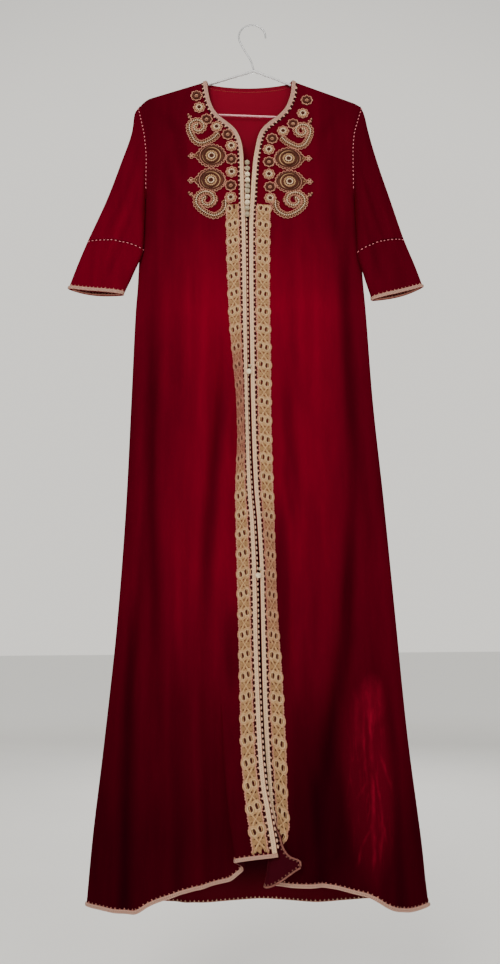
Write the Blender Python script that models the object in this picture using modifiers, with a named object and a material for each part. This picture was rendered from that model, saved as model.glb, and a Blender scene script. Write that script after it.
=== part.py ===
# Moroccan kaftan hanging on a coated wire hanger, one named object for each cut piece.
# Metres, +Z up, the front towards -Y. The origin is inside the top of the hook's bend.
# "left" and "right" are as seen from the front; "down" is the distance below the origin.

import math

import bmesh
import bpy
import numpy as np

COLLECTION = "moroccan_kaftan"

# cloth and trims
WALL = 0.0016               # velvet
GAP = 0.0003                # between neighbouring pieces
BRAID_WIDTH = 0.0087
BRAID_THICK = 0.0020
LACE_NEAR = 0.0135          # lace band's two edges, from the front edge of the garment
LACE_FAR = 0.0375
LACE_THICK = 0.0014
LACE_TOP = 0.358
APPLIQUE_THICK = 0.0015
APPLIQUE_LIFT = 0.0003      # extra, as it crosses the front's rows
APPLIQUE_AXIS = -0.006      # line that the two chest appliques mirror about
APPLIQUE_COLUMNS = 4
APPLIQUE_STEP = 0.0133      # the right applique sits this much lower

# overall form
NECK_TOP = 0.114            # down to the neck points
HEM = 1.490
ARMPIT = 0.333
NECK_POINT = {"left": -0.0808, "right": 0.0683}
SHOULDER_SLOPE = {"left": 0.325, "right": 0.410}
SHOULDER_STRAIGHT = {"left": 0.100, "right": 0.108}     # straight part, from the neck point
TIP_ROUND = {"left": 26.0, "right": 13.0}               # how fast the shoulder rounds off past it
BACK_NECK_DROP = 0.008
SLOPE_ENDS = 0.42           # below this the rows run level
SEAM_HALF = 0.0012          # front and back stand this far from the seam plane
WRAP_RADIUS = 0.0046        # cloth over the hanger's arms
OUT = {"left": -1.0, "right": 1.0}

# the left front laps over the right one and has one deep pleat near its free corner
LAP_TOP = 1.10
LAP_DEPTH = 0.025
PLEAT_TOP = 0.95
PLEAT_FROM = 0.058
PLEAT_LENGTH = 0.028
PLEAT_TAKE_UP = 0.036

# the free corner of the right front rolls outward
ROLL_TOP = 1.28
ROLL_FULL = 1.40
ROLL_DEPTH = 0.018
ROLL_RADIUS = 0.012
ROLL_LIFT = 0.0005          # extra, as the hem braid turns round the roll
RISE_TOP = 1.15             # the fronts' hems lift towards the opening from here down

# buttons
BUTTON_RADIUS = 0.0047
BUTTON_SINK = 0.0010
BUTTON_FIRST = 0.2798
BUTTON_PITCH = 0.01124
BUTTON_COUNT = 10
LOW_BUTTONS = (0.6627, 0.9979)

# hanger
APEX = (0.0025, -0.0915)
ARM_ANGLE = math.radians(20.15)
HANGER_TILT = math.radians(2.15)
APEX_TO_BAR = 0.0905
END_RADIUS = 0.013
APEX_RADIUS = 0.006
HANGER_TUBE = 0.0025
HOOK_WIRE = 0.0015
HOOK_RADIUS = 0.0242
HOOK_TIP = math.radians(-5)
HOOK_LAST = math.radians(203)
HOOK_STEPS = 16
STEM_SEAT = (-0.0006, 0.0006)       # the stem's end, from the top of the apex
STEM_LEAVE = (0.014, -0.034)        # the S's two guides
STEM_ARRIVE = (-0.006, 0.030)
STEM_POINTS = 10


def table(names, *rows):
    """A small table as columns by name; the first column is the key it is read by."""
    columns = dict(zip(names.split(), np.array(rows, dtype=float).T))
    columns["key"] = columns[names.split()[0]]
    return columns


# half sections of the body; front, side and back are depths from the seam plane
BODY = table(
    "down   left     right    front   side    back",
    (0.114, -0.2005, 0.1905, 0.0062, 0.0060, 0.0060),
    (0.150, -0.1955, 0.1835, 0.0080, 0.0080, 0.0075),
    (0.200, -0.1885, 0.1745, 0.0110, 0.0100, 0.0100),
    (0.250, -0.1853, 0.1722, 0.0130, 0.0100, 0.0115),
    (0.300, -0.1868, 0.1732, 0.0145, 0.0070, 0.0125),
    (0.333, -0.1885, 0.1752, 0.0155, 0.0012, 0.0135),
    (0.420, -0.1885, 0.1765, 0.0180, 0.0012, 0.0160),
    (0.480, -0.1935, 0.1800, 0.0195, 0.0012, 0.0180),
    (0.545, -0.2020, 0.1890, 0.0210, 0.0012, 0.0200),
    (0.700, -0.2071, 0.1948, 0.0240, 0.0012, 0.0240),
    (0.870, -0.2126, 0.2070, 0.0270, 0.0012, 0.0280),
    (1.065, -0.2237, 0.2195, 0.0310, 0.0012, 0.0320),
    (1.250, -0.2405, 0.2312, 0.0340, 0.0012, 0.0370),
    (1.400, -0.2560, 0.2450, 0.0370, 0.0012, 0.0410),
    (1.490, -0.2625, 0.2532, 0.0390, 0.0012, 0.0430),
)

# neckline, slit and front edges
EDGE = table(
    "down   left     right",
    (0.114, -0.0808, 0.0683),
    (0.140, -0.0778, 0.0660),
    (0.155, -0.0748, 0.0622),
    (0.170, -0.0696, 0.0561),
    (0.185, -0.0598, 0.0442),
    (0.200, -0.0434, 0.0258),
    (0.210, -0.0330, 0.0160),
    (0.220, -0.0265, 0.0095),
    (0.235, -0.0208, 0.0046),
    (0.250, -0.0178, 0.0017),
    (0.272, -0.0162, -0.0020),
    (0.310, -0.0159, -0.0055),
    (0.345, -0.0152, -0.0078),
    (0.385, -0.0138, -0.0104),
    (0.500, -0.0129, -0.0110),
    (0.660, -0.0124, -0.0102),
    (0.790, -0.0105, -0.0081),
    (0.860, -0.0078, -0.0055),
    (0.910, -0.0040, -0.0015),
    (0.997, -0.0008, 0.0024),
    (1.100, 0.0002, 0.0034),
    (1.190, 0.0024, 0.0046),
    (1.290, 0.0054, 0.0074),
    (1.370, 0.0100, 0.0098),
    (1.405, 0.0145, 0.0087),
    (1.435, 0.0187, -0.0013),
    (1.460, 0.0222, -0.0324),
    (1.470, 0.0238, -0.0450),
    (1.480, 0.0250, -0.0680),
    (1.490, 0.0262, -0.0705),
)

# in places the trimmed strip along a front edge tilts back; the share of its width that shows
TILT = table(
    "down   left  right",
    (0.114, 1.00, 1.00),
    (0.330, 0.98, 1.10),
    (0.440, 0.96, 1.04),
    (0.560, 0.88, 1.01),
    (0.640, 0.70, 1.01),
    (0.710, 0.56, 0.97),
    (0.760, 0.55, 0.95),
    (0.820, 0.66, 0.93),
    (0.880, 0.80, 0.88),
    (0.940, 0.88, 0.78),
    (1.010, 0.90, 0.75),
    (1.080, 0.87, 0.81),
    (1.160, 0.88, 0.92),
    (1.270, 0.93, 0.96),
    (1.370, 0.96, 0.88),
    (1.430, 1.03, 1.00),
    (1.490, 1.06, 1.00),
)
TILT_DEPTH = 0.040          # how deep it goes for each unit of width lost
TILT_END = 0.090            # where the cloth has come forward again

# where the right front's corner folds over, from its own edge
ROLL = table(
    "down   fold",
    (1.280, -0.070),
    (1.405, -0.004),
    (1.435, 0.012),
    (1.460, 0.033),
    (1.470, 0.043),
    (1.480, 0.063),
    (1.490, 0.065),
)

# how far the hem lifts, by distance across the cloth from the front edge
RISE = {
    "left": table(
        "across lift",
        (0.000, 0.0825),
        (0.060, 0.0745),
        (0.090, 0.0530),
        (0.104, 0.0420),
        (0.126, 0.0360),
        (0.164, 0.0285),
        (0.197, 0.0190),
        (0.223, 0.0085),
        (0.248, -0.0030),
        (0.325, 0.0000),
    ),
    "right": table(
        "across lift",
        (0.000, 0.0650),
        (0.061, 0.0380),
        (0.083, 0.0390),
        (0.119, 0.0335),
        (0.176, 0.0280),
        (0.208, 0.0215),
        (0.235, 0.0150),
        (0.255, 0.0035),
        (0.275, -0.0045),
        (0.295, -0.0070),
        (0.325, -0.0040),
    ),
}
BACK_DIP = 0.008            # the back's hem hangs this much lower in the middle

# soft vertical folds: place across (0 to 1), half width, depth outwards, where each begins
FOLDS = {
    "left": table(
        "place width depth  begins",
        (0.31, 0.09, -0.009, 0.60),
        (0.54, 0.09, 0.006, 0.80),
        (0.80, 0.09, 0.012, 0.48),
    ),
    "right": table(
        "place width depth  begins",
        (0.27, 0.09, 0.006, 0.62),
        (0.55, 0.10, -0.012, 0.52),
        (0.83, 0.08, 0.014, 0.86),
    ),
    "back": table(
        "place width depth  begins",
        (0.16, 0.055, 0.012, 0.50),
        (0.33, 0.060, -0.009, 0.66),
        (0.51, 0.070, 0.009, 0.44),
        (0.68, 0.060, -0.010, 0.72),
        (0.85, 0.055, 0.012, 0.56),
    ),
}

# sleeve and cuff band: along is 0 at the armhole, 1 at the cuff seam, 2 at the cuff's hem
SLEEVE = {
    "left": table(
        "along  top_x    top_z    under_x  under_z  half    bow",
        (0.00, -0.2005, -0.1616, -0.1890, -0.3410, 0.0100, 0.008),
        (0.06, -0.2085, -0.1740, -0.1900, -0.3480, 0.0105, 0.008),
        (0.20, -0.2131, -0.2060, -0.1905, -0.3620, 0.0115, 0.008),
        (0.45, -0.2335, -0.2730, -0.1930, -0.3850, 0.0130, 0.007),
        (0.70, -0.2554, -0.3380, -0.1950, -0.4080, 0.0140, 0.006),
        (1.00, -0.2879, -0.4176, -0.1965, -0.4370, 0.0145, 0.005),
        (1.50, -0.3040, -0.4610, -0.2065, -0.4790, 0.0155, 0.001),
        (2.00, -0.3185, -0.5040, -0.2240, -0.5195, 0.0165, -0.002),
    ),
    "right": table(
        "along  top_x    top_z    under_x  under_z  half    bow",
        (0.00, 0.1905, -0.1672, 0.1757, -0.3400, 0.0100, 0.008),
        (0.06, 0.1962, -0.1810, 0.1768, -0.3470, 0.0105, 0.008),
        (0.20, 0.2028, -0.2110, 0.1775, -0.3640, 0.0115, 0.008),
        (0.45, 0.2189, -0.2770, 0.1795, -0.3900, 0.0130, 0.007),
        (0.70, 0.2364, -0.3390, 0.1812, -0.4180, 0.0140, 0.006),
        (1.00, 0.2590, -0.4190, 0.1830, -0.4460, 0.0145, 0.005),
        (1.50, 0.2765, -0.4690, 0.1885, -0.4880, 0.0155, 0.001),
        (2.00, 0.2880, -0.5060, 0.2000, -0.5330, 0.0165, -0.002),
    ),
}
HOLE_BLEND = 0.35           # share of the sleeve in which it leaves the armhole's curve
SEAM_SHIFT = 0.0017         # sleeve stands this far out from the armhole
CUFF_LENGTH = 0.0915

# chest applique: its near side as a distance from the front edge, its far side from the line
# that the two appliques mirror about
APPLIQUE = table(
    "down    left    right   far",
    (0.1280, 0.0125, 0.0200, 0.1030),
    (0.1441, 0.0125, 0.0200, 0.1100),
    (0.1562, 0.0125, 0.0200, 0.1010),
    (0.1682, 0.0125, 0.0200, 0.1045),
    (0.1762, 0.0125, 0.0200, 0.1005),
    (0.1821, 0.0125, 0.0200, 0.1095),
    (0.1941, 0.0125, 0.0180, 0.1075),
    (0.2099, 0.0125, 0.0160, 0.1095),
    (0.2238, 0.0125, 0.0145, 0.1065),
    (0.2357, 0.0125, 0.0130, 0.0980),
    (0.2446, 0.0125, 0.0125, 0.0880),
    (0.2533, 0.0125, 0.0125, 0.0935),
    (0.2638, 0.0125, 0.0125, 0.1085),
    (0.2746, 0.0125, 0.0125, 0.0960),
    (0.2920, 0.0125, 0.0125, 0.0870),
    (0.3048, 0.0125, 0.0125, 0.0950),
    (0.3138, 0.0125, 0.0125, 0.1080),
    (0.3244, 0.0125, 0.0125, 0.0905),
    (0.3363, 0.0125, 0.0125, 0.1025),
    (0.3440, 0.0125, 0.0390, 0.0950),
    (0.3540, 0.0125, 0.0410, 0.0930),
    (0.3573, 0.0400, 0.0430, 0.0920),
    (0.3711, 0.0440, 0.0480, 0.0850),
    (0.3790, 0.0580, 0.0560, 0.0720),
)

# rows down the panels, and columns across them
ARM_ROWS = (0.114, 0.1185, 0.1227, 0.150, 0.175, 0.197, 0.220, 0.242, 0.262, 0.274, 0.305, ARMPIT)
SKIRT_ROWS = (LACE_TOP, 0.450, 0.560, 0.710, 0.860, 1.010, 1.160, 1.280)
HEM_ROWS = (1.345, 1.380, 1.405, 1.425, 1.443, 1.457, 1.469, HEM - BRAID_WIDTH, HEM)
BODY_ROWS = ARM_ROWS + SKIRT_ROWS + HEM_ROWS
LACE_ROW = len(ARM_ROWS)
TRIM_COLUMNS = (0.0, BRAID_WIDTH, LACE_NEAR, LACE_FAR)
FRONT_COLUMNS = {
    "left": TRIM_COLUMNS + (0.052, 0.064, 0.071, 0.078, 0.085, 0.092, 0.106),
    "right": TRIM_COLUMNS[:3] + (0.0255, LACE_FAR, 0.048, 0.0565, 0.0640, 0.0715, 0.084),
}
FRONT_SHARES = (0.18, 0.36, 0.54, 0.72, 0.87, 0.96, 1.0)
BACK_NECK_SHARES = (0.3061, 0.325, 0.39, 0.49, 0.60, 0.67, 0.6875)
BACK_SHARES = (0.0, 0.02, 0.08, 0.16, 0.24) + BACK_NECK_SHARES + (0.76, 0.84, 0.92, 0.98, 1.0)
BACK_NECK_COLUMNS = slice(5, 5 + len(BACK_NECK_SHARES))
CUFF_BRAID_START = 2.0 - BRAID_WIDTH / CUFF_LENGTH
SLEEVE_ROWS = (0.0, 0.06, 0.20, 0.38, 0.60, 0.80, 0.9965)
CUFF_ROWS = (1.0035, 1.30, 1.62, CUFF_BRAID_START, 2.0)

# colour, roughness and metallic value of each finish
FINISHES = {
    "velvet": ((0.250, 0.004, 0.014), 0.75, 0.0),
    "braid": ((0.700, 0.540, 0.410), 0.60, 0.0),
    "lace": ((0.500, 0.350, 0.190), 0.70, 0.0),
    "button": ((0.780, 0.680, 0.500), 0.35, 0.0),
    "hanger": ((0.820, 0.820, 0.800), 0.40, 0.0),
    "wire": ((0.600, 0.600, 0.590), 0.30, 0.9),
}


# ---- reading the tables ----

def read(columns, name, at):
    """A column's value on a smooth curve through the table's rows, with no overshoot."""
    key, value = columns["key"], columns[name]
    slope = np.diff(value) / np.diff(key)
    before, after = slope[:-1], slope[1:]
    same = before * after > 0
    middle = np.where(same, 2 * before * after / np.where(same, before + after, 1.0), 0.0)
    tangent = np.concatenate(([slope[0]], middle, [slope[-1]]))
    at = np.clip(at, key[0], key[-1])
    row = np.clip(np.searchsorted(key, at) - 1, 0, len(key) - 2)
    span = key[row + 1] - key[row]
    t = (at - key[row]) / span
    start = value[row] * (1 + 2 * t) * (1 - t) ** 2 + tangent[row] * span * t * (1 - t) ** 2
    end = value[row + 1] * t ** 2 * (3 - 2 * t) - tangent[row + 1] * span * t ** 2 * (1 - t)
    return start + end


def ramp(at, start, end):
    """0 before start, 1 past end, softly between."""
    t = np.clip((at - start) / (end - start), 0.0, 1.0)
    return t * t * (3 - 2 * t)


# ---- the garment's surfaces ----

def shoulder_line(side, x):
    """How far the shoulder seam lies below the neck points at x."""
    past = np.maximum(OUT[side] * (x - NECK_POINT[side]), 0.0)
    rounding = np.maximum(past - SHOULDER_STRAIGHT[side], 0.0)
    return SHOULDER_SLOPE[side] * past + TIP_ROUND[side] * rounding ** 2


def slope_left(down):
    """Share of the shoulder's slope that a row still has."""
    return np.clip((SLOPE_ENDS - down) / (SLOPE_ENDS - NECK_TOP), 0.0, 1.0) ** 1.2


def across_profile(share):
    """Full depth at the middle, none at the side seam."""
    return (1 - np.clip(share, 0.0, 1.0) ** 3) ** 0.6


def fold_depth(panel, share, down):
    folds = FOLDS[panel]
    depth = 0.0
    for place, width, deep, begins in zip(folds["place"], folds["width"], folds["depth"], folds["begins"]):
        depth = depth + deep * np.exp(-((share - place) / width) ** 2) * ramp(down, begins, HEM)
    return depth


def over_hanger(depth, down):
    """Near the shoulder seam the cloth turns over the hanger's arm."""
    fall = np.clip(down - NECK_TOP, 0.0, WRAP_RADIUS)
    wrap = SEAM_HALF + np.sqrt(2 * WRAP_RADIUS * fall - fall ** 2)
    return np.minimum(depth, wrap + 2.0 * (down - NECK_TOP - fall))


def reach_across(side, across, down):
    """Sideways distance from the front edge for a distance across the cloth."""
    return across - (1 - read(TILT, side, down)) * np.minimum(across, LACE_FAR)


def across_reach(side, reach, down):
    """The other way round."""
    tilt = read(TILT, side, down)
    return np.where(reach < tilt * LACE_FAR, reach / tilt, reach + (1 - tilt) * LACE_FAR)


def cloth_width(side, down):
    """Distance across the cloth from the front edge to the side seam."""
    width = OUT[side] * (read(BODY, side, down) - read(EDGE, side, down))
    width = across_reach(side, width, down)
    if side == "left":
        return width + PLEAT_TAKE_UP * ramp(down, PLEAT_TOP, HEM)
    fold = read(ROLL, "fold", down)
    return fold + np.sqrt((width - fold) ** 2 - ROLL_RADIUS ** 2)


def front_surface(side, across, down):
    """Middle of a front's wall, by distance across the cloth and by row."""
    edge = read(EDGE, side, down)
    width = OUT[side] * (read(BODY, side, down) - edge)
    recess = ramp(across, 0.0, LACE_FAR) * (1 - ramp(across, LACE_FAR, TILT_END))
    forward = -TILT_DEPTH * np.maximum(1 - read(TILT, side, down), 0.0) * recess
    if side == "left":
        turn = ramp(across, PLEAT_FROM, PLEAT_FROM + PLEAT_LENGTH)
        reach = across - turn * PLEAT_TAKE_UP * ramp(down, PLEAT_TOP, HEM)
        forward = forward + LAP_DEPTH * ramp(down, LAP_TOP, HEM) * (1 - turn)
    else:
        past = across - read(ROLL, "fold", down)
        bend = np.hypot(past, ROLL_RADIUS)
        reach = across - past + bend
        forward = forward + ROLL_DEPTH * ramp(down, ROLL_TOP, ROLL_FULL) * (1 - past / bend) / 2
    reach = reach - across + reach_across(side, across, down)
    share = reach / width
    x = edge + OUT[side] * reach
    seam = read(BODY, "side", down)
    profile = across_profile(share)
    depth = seam + (read(BODY, "front", down) - seam + fold_depth(side, share, down)) * profile
    depth = over_hanger(depth, down) + forward
    lift = read(RISE[side], "lift", across) * ramp(down, RISE_TOP, HEM)
    z = lift - down - shoulder_line(side, x) * slope_left(down)
    return np.stack(np.broadcast_arrays(x, -depth, z), axis=-1)


def back_surface(share, down):
    """Middle of the back's wall; share is 0 at the left side seam and 1 at the right one."""
    left, right = read(BODY, "left", down), read(BODY, "right", down)
    x = left + share * (right - left)
    seam = read(BODY, "side", down)
    profile = across_profile(np.abs(2 * share - 1))
    depth = seam + (read(BODY, "back", down) - seam + fold_depth("back", share, down)) * profile
    neck_middle = (NECK_POINT["left"] + NECK_POINT["right"]) / 2
    neck_half = NECK_POINT["right"] - neck_middle
    neck = BACK_NECK_DROP * np.maximum(1 - ((x - neck_middle) / neck_half) ** 2, 0.0) * slope_left(down)
    depth = over_hanger(depth, down + neck)
    shoulders = (shoulder_line("left", x) + shoulder_line("right", x)) * slope_left(down)
    z = -down - neck - shoulders - BACK_DIP * profile * ramp(down, RISE_TOP, HEM)
    return np.stack(np.broadcast_arrays(x, depth, z), axis=-1)


def front_grid(side):
    """Rows down and columns across, denser at the trims and the pleat or roll."""
    down = np.array(BODY_ROWS)[:, None]
    near = np.array(FRONT_COLUMNS[side])[None, :]
    rest = cloth_width(side, down) - near[0, -1]
    across = np.concatenate((near + 0 * down, near[0, -1] + rest * np.array(FRONT_SHARES)), axis=1)
    return front_surface(side, square_to_edge(side, across, down), down)


def stretch_at(side, down):
    """How much wider a trim's level section is where the neckline runs aslant."""
    step = 0.002
    slant = (read(EDGE, side, down + step) - read(EDGE, side, down - step)) / (2 * step)
    return np.where(down < LACE_TOP, np.sqrt(1 + slant ** 2), 1.0)


def square_to_edge(side, across, down):
    """Stretches the trims' columns so that trims keep their width along the neckline."""
    fade = 1 - ramp(across, LACE_FAR, 3 * LACE_FAR)
    return across * (1 + (stretch_at(side, down) - 1) * fade)


def back_grid():
    down = np.array(BODY_ROWS)[:, None]
    return back_surface(np.array(BACK_SHARES)[None, :], down)


def limb_ring(side, along, round_share):
    """Front half of a sleeve's own ring, from its top to its underside, as x, depth and z."""
    size = {name: read(SLEEVE[side], name, along) for name in SLEEVE[side]}
    top = np.array((size["top_x"], size["top_z"]))
    chord = np.array((size["under_x"], size["under_z"])) - top
    lift = np.array((-chord[1], chord[0])) / np.hypot(*chord) * -OUT[side] * size["bow"]
    line = top + chord * round_share[:, None] + lift * np.sin(math.pi * round_share)[:, None]
    depth = size["half"] * np.maximum(np.sin(math.pi * round_share), 0.0) ** 0.55
    return np.stack((line[:, 0], -depth, line[:, 1]), axis=-1)


def sleeve_grid(side, along_rows):
    """Rings round the sleeve: front half from the shoulder to the armpit, then the back half."""
    down = np.array(ARM_ROWS)
    round_share = (down - down[0]) / (down[-1] - down[0])
    hole = front_surface(side, cloth_width(side, down), down)
    hole[:, 0] += OUT[side] * SEAM_SHIFT
    difference = hole - limb_ring(side, 0.0, round_share)
    rings = []
    for along in along_rows:
        front = limb_ring(side, along, round_share) + difference * (1 - ramp(along, 0.0, HOLE_BLEND))
        front[0, 1] = front[-1, 1] = 0.0
        back = front[-2:0:-1] * np.array((1, -1, 1))
        rings.append(np.concatenate((front, back, front[:1])))
    return np.array(rings)


# ---- turning grids of points into walls ----

def moved_out(grid, distance, ring=False):
    """The grid's points moved along the cloth's normal so that facets stay parallel."""
    diagonal = grid[1:, 1:] - grid[:-1, :-1]
    other = grid[1:, :-1] - grid[:-1, 1:]
    face = np.cross(diagonal, other)
    face /= np.linalg.norm(face, axis=-1, keepdims=True)
    padded = np.zeros((face.shape[0] + 2, face.shape[1] + 2, 3))
    padded[1:-1, 1:-1] = face
    if ring:
        padded[:, 0] = padded[:, -2]
        padded[:, -1] = padded[:, 1]
    around = (padded[:-1, :-1], padded[1:, :-1], padded[:-1, 1:], padded[1:, 1:])
    normal = sum(around)
    normal /= np.linalg.norm(normal, axis=-1, keepdims=True)
    used = sum((np.abs(part).sum(axis=-1) > 0).astype(float) for part in around)
    facing = sum((part * normal).sum(axis=-1) for part in around) / used
    return grid + normal * distance / facing[..., None]


def outward(panel):
    """+1 where the grid's own normal points out of the garment, else -1."""
    return {"left": 1.0, "right": -1.0, "back": 1.0}[panel]


def make_wall(name, grid, thick, finish, ring=False):
    """A wall of even thickness about a grid of points; a ring's last column is its first."""
    rows, columns = grid.shape[:2]
    shape = bmesh.new()
    bmesh.ops.create_grid(shape, x_segments=columns - 1, y_segments=rows - 1, size=1.0)
    for vertex in shape.verts:
        column = round((vertex.co.x + 1) / 2 * (columns - 1))
        row = round((vertex.co.y + 1) / 2 * (rows - 1))
        vertex.co = grid[row, column]
    if ring:
        bmesh.ops.remove_doubles(shape, verts=shape.verts, dist=1e-6)
    piece = add_object(name, shape, finish)
    solidify = piece.modifiers.new("wall", "SOLIDIFY")
    solidify.thickness = thick
    solidify.offset = 0.0
    solidify.use_even_offset = True
    solidify.use_quality_normals = True
    return piece


def add_object(name, shape, finish):
    mesh = bpy.data.meshes.new(name)
    shape.to_mesh(mesh)
    shape.free()
    return link(bpy.data.objects.new(name, mesh), finish)


def link(piece, finish):
    piece.data.materials.append(material(piece.name, finish))
    bpy.data.collections[COLLECTION].objects.link(piece)
    return piece


def material(name, finish):
    made = bpy.data.materials.new(name)
    made.use_nodes = True
    colour, roughness, metallic = FINISHES[finish]
    shader = made.node_tree.nodes["Principled BSDF"]
    shader.inputs["Base Color"].default_value = (*colour, 1.0)
    shader.inputs["Roughness"].default_value = roughness
    shader.inputs["Metallic"].default_value = metallic
    return made


def trim_offset(thick):
    """From the middle of the velvet's wall to the middle of a trim lying on it."""
    return WALL / 2 + GAP + thick / 2


# ---- pieces ----

def make_fronts():
    for side in ("left", "right"):
        grid = front_grid(side)
        make_wall(f"front_{side}", grid, WALL, "velvet")
        turn = outward(side)
        lace_columns = slice(2, 4 if side == "left" else 5)
        upper = grid.copy()
        step = grid[-3] - grid[-2]
        upper[-2] += step * 3 * GAP / np.linalg.norm(step, axis=-1)[:, None]
        on_braid = moved_out(upper[:-1], turn * trim_offset(BRAID_THICK))
        make_wall(f"braid_front_{side}", on_braid[:, :2], BRAID_THICK, "braid")
        on_lace = moved_out(upper[:-1], turn * trim_offset(LACE_THICK))
        make_wall(f"lace_{side}", on_lace[LACE_ROW:, lace_columns], LACE_THICK, "lace")
        lift = ROLL_LIFT if side == "right" else 0.0
        on_hem = moved_out(grid, turn * (lift + trim_offset(BRAID_THICK)))
        make_wall(f"braid_hem_{side}", on_hem[-2:], BRAID_THICK, "braid")
        make_applique(side)


def make_applique(side):
    """A flat piece on the chest, laid on the front's own surface."""
    level = APPLIQUE["down"] + (APPLIQUE_STEP if side == "right" else 0.0)
    near = reach_across(side, APPLIQUE[side] * stretch_at(side, level), level)
    near = read(EDGE, side, level) + OUT[side] * near
    far = APPLIQUE_AXIS + OUT[side] * APPLIQUE["far"]
    share = np.linspace(0.0, 1.0, APPLIQUE_COLUMNS)[None, :]
    x = near[:, None] * (1 - share) + far[:, None] * share
    row = level[:, None] + 0 * x
    for _ in range(12):
        row = level[:, None] - shoulder_line(side, x) * slope_left(row)
    across = across_reach(side, OUT[side] * (x - read(EDGE, side, row)), row)
    lift = APPLIQUE_LIFT + trim_offset(APPLIQUE_THICK)
    laid = moved_out(front_surface(side, across, row), outward(side) * lift)
    make_wall(f"applique_{side}", laid, APPLIQUE_THICK, "lace")


def make_back():
    grid = back_grid()
    make_wall("back", grid, WALL, "velvet")
    laid = moved_out(grid, outward("back") * trim_offset(BRAID_THICK))
    make_wall("braid_neck_back", laid[:3, BACK_NECK_COLUMNS], BRAID_THICK, "braid")
    make_wall("braid_hem_back", laid[-2:], BRAID_THICK, "braid")


def make_sleeves():
    for side in ("left", "right"):
        make_wall(f"sleeve_{side}", sleeve_grid(side, SLEEVE_ROWS), WALL, "velvet", ring=True)
        cuff = sleeve_grid(side, CUFF_ROWS)
        make_wall(f"cuff_{side}", cuff, WALL, "velvet", ring=True)
        laid = moved_out(cuff, outward(side) * trim_offset(BRAID_THICK), ring=True)
        make_wall(f"braid_cuff_{side}", laid[-2:], BRAID_THICK, "braid", ring=True)


def make_buttons():
    downs = [BUTTON_FIRST + BUTTON_PITCH * step for step in range(BUTTON_COUNT)]
    downs.extend(LOW_BUTTONS)
    for number, down in enumerate(downs, start=1):
        left = front_surface("left", np.array(0.0), np.array(down))
        right = front_surface("right", np.array(0.0), np.array(down))
        place = (left + right) / 2
        place[0] = min(place[0], left[0] + BUTTON_RADIUS + 2 * GAP)
        beside = place[0] - left[0]
        clear = BUTTON_RADIUS + GAP
        rise = math.sqrt(clear ** 2 - beside ** 2) if beside < clear else -BUTTON_SINK
        place[1] -= WALL / 2 + GAP + BRAID_THICK + rise
        shape = bmesh.new()
        bmesh.ops.create_uvsphere(shape, u_segments=10, v_segments=6, radius=BUTTON_RADIUS)
        knot = add_object(f"button_{number}", shape, "button")
        knot.data.shade_smooth()
        knot.location = place


def fillet(corners, radii, steps):
    """A closed outline through corners rounded by radii, as points in x and z."""
    points = []
    for index, radius in enumerate(radii):
        corner = corners[index]
        before = corners[index - 1] - corner
        after = corners[(index + 1) % len(corners)] - corner
        before, after = before / np.hypot(*before), after / np.hypot(*after)
        half = math.acos(float(before @ after)) / 2
        middle = (before + after) / np.hypot(*(before + after))
        centre = corner + middle * radius / math.sin(half)
        start = corner + before * radius / math.tan(half) - centre
        turn = math.pi - 2 * half
        way = math.copysign(1.0, start[0] * after[1] - start[1] * after[0])
        for step in range(steps[index] + 1):
            angle = way * turn * step / steps[index]
            cos, sin = math.cos(angle), math.sin(angle)
            x, z = start[0] * cos - start[1] * sin, start[0] * sin + start[1] * cos
            points.append(centre + np.array((x, z)))
    return points


def make_wire(name, points, radius, finish, closed):
    """A round wire in the plane y = 0 along points in x and z."""
    curve = bpy.data.curves.new(name, "CURVE")
    curve.dimensions = "3D"
    curve.bevel_depth = radius
    curve.bevel_resolution = 2
    curve.use_fill_caps = not closed
    spline = curve.splines.new("POLY")
    spline.points.add(len(points) - 1)
    spline.use_cyclic_u = closed
    for target, (x, z) in zip(spline.points, points):
        target.co = (x, 0.0, z, 1.0)
    return link(bpy.data.objects.new(name, curve), finish)


def make_hanger():
    """A tilted triangle of coated wire, with the hook's stem ending on its apex."""
    reach = APEX_TO_BAR / math.tan(ARM_ANGLE)
    cos, sin = math.cos(HANGER_TILT), math.sin(HANGER_TILT)
    corners = []
    for x, z in ((0.0, 0.0), (-reach, -APEX_TO_BAR), (reach, -APEX_TO_BAR)):
        corners.append(np.array((APEX[0] + x * cos + z * sin, APEX[1] - x * sin + z * cos)))
    outline = fillet(corners, (APEX_RADIUS, END_RADIUS, END_RADIUS), (4, 10, 10))
    make_wire("hanger", outline, HANGER_TUBE, "hanger", closed=True)

    centre_z = HOOK_WIRE - HOOK_RADIUS
    points = []
    for step in range(HOOK_STEPS + 1):
        angle = HOOK_TIP + (HOOK_LAST - HOOK_TIP) * step / HOOK_STEPS
        points.append((HOOK_RADIUS * math.cos(angle), centre_z + HOOK_RADIUS * math.sin(angle)))
    points.extend(stem_points(points[-1]))
    make_wire("hanger_hook", points, HOOK_WIRE, "wire", closed=False)


def stem_points(start):
    """The stem swings back from the bend to stand on the apex: one soft S."""
    end = (APEX[0] + STEM_SEAT[0], APEX[1] + HANGER_TUBE + STEM_SEAT[1])
    leave = (start[0] + STEM_LEAVE[0], start[1] + STEM_LEAVE[1])
    arrive = (end[0] + STEM_ARRIVE[0], end[1] + STEM_ARRIVE[1])
    points = []
    for step in range(1, STEM_POINTS + 1):
        t = step / STEM_POINTS
        weights = ((1 - t) ** 3, 3 * t * (1 - t) ** 2, 3 * t ** 2 * (1 - t), t ** 3)
        guides = (start, leave, arrive, end)
        points.append(tuple(sum(w * g[axis] for w, g in zip(weights, guides)) for axis in (0, 1)))
    return points


def main():
    for old in list(bpy.data.objects):
        bpy.data.objects.remove(old, do_unlink=True)
    bpy.context.scene.collection.children.link(bpy.data.collections.new(COLLECTION))
    make_fronts()
    make_back()
    make_sleeves()
    make_buttons()
    make_hanger()


main()
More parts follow.
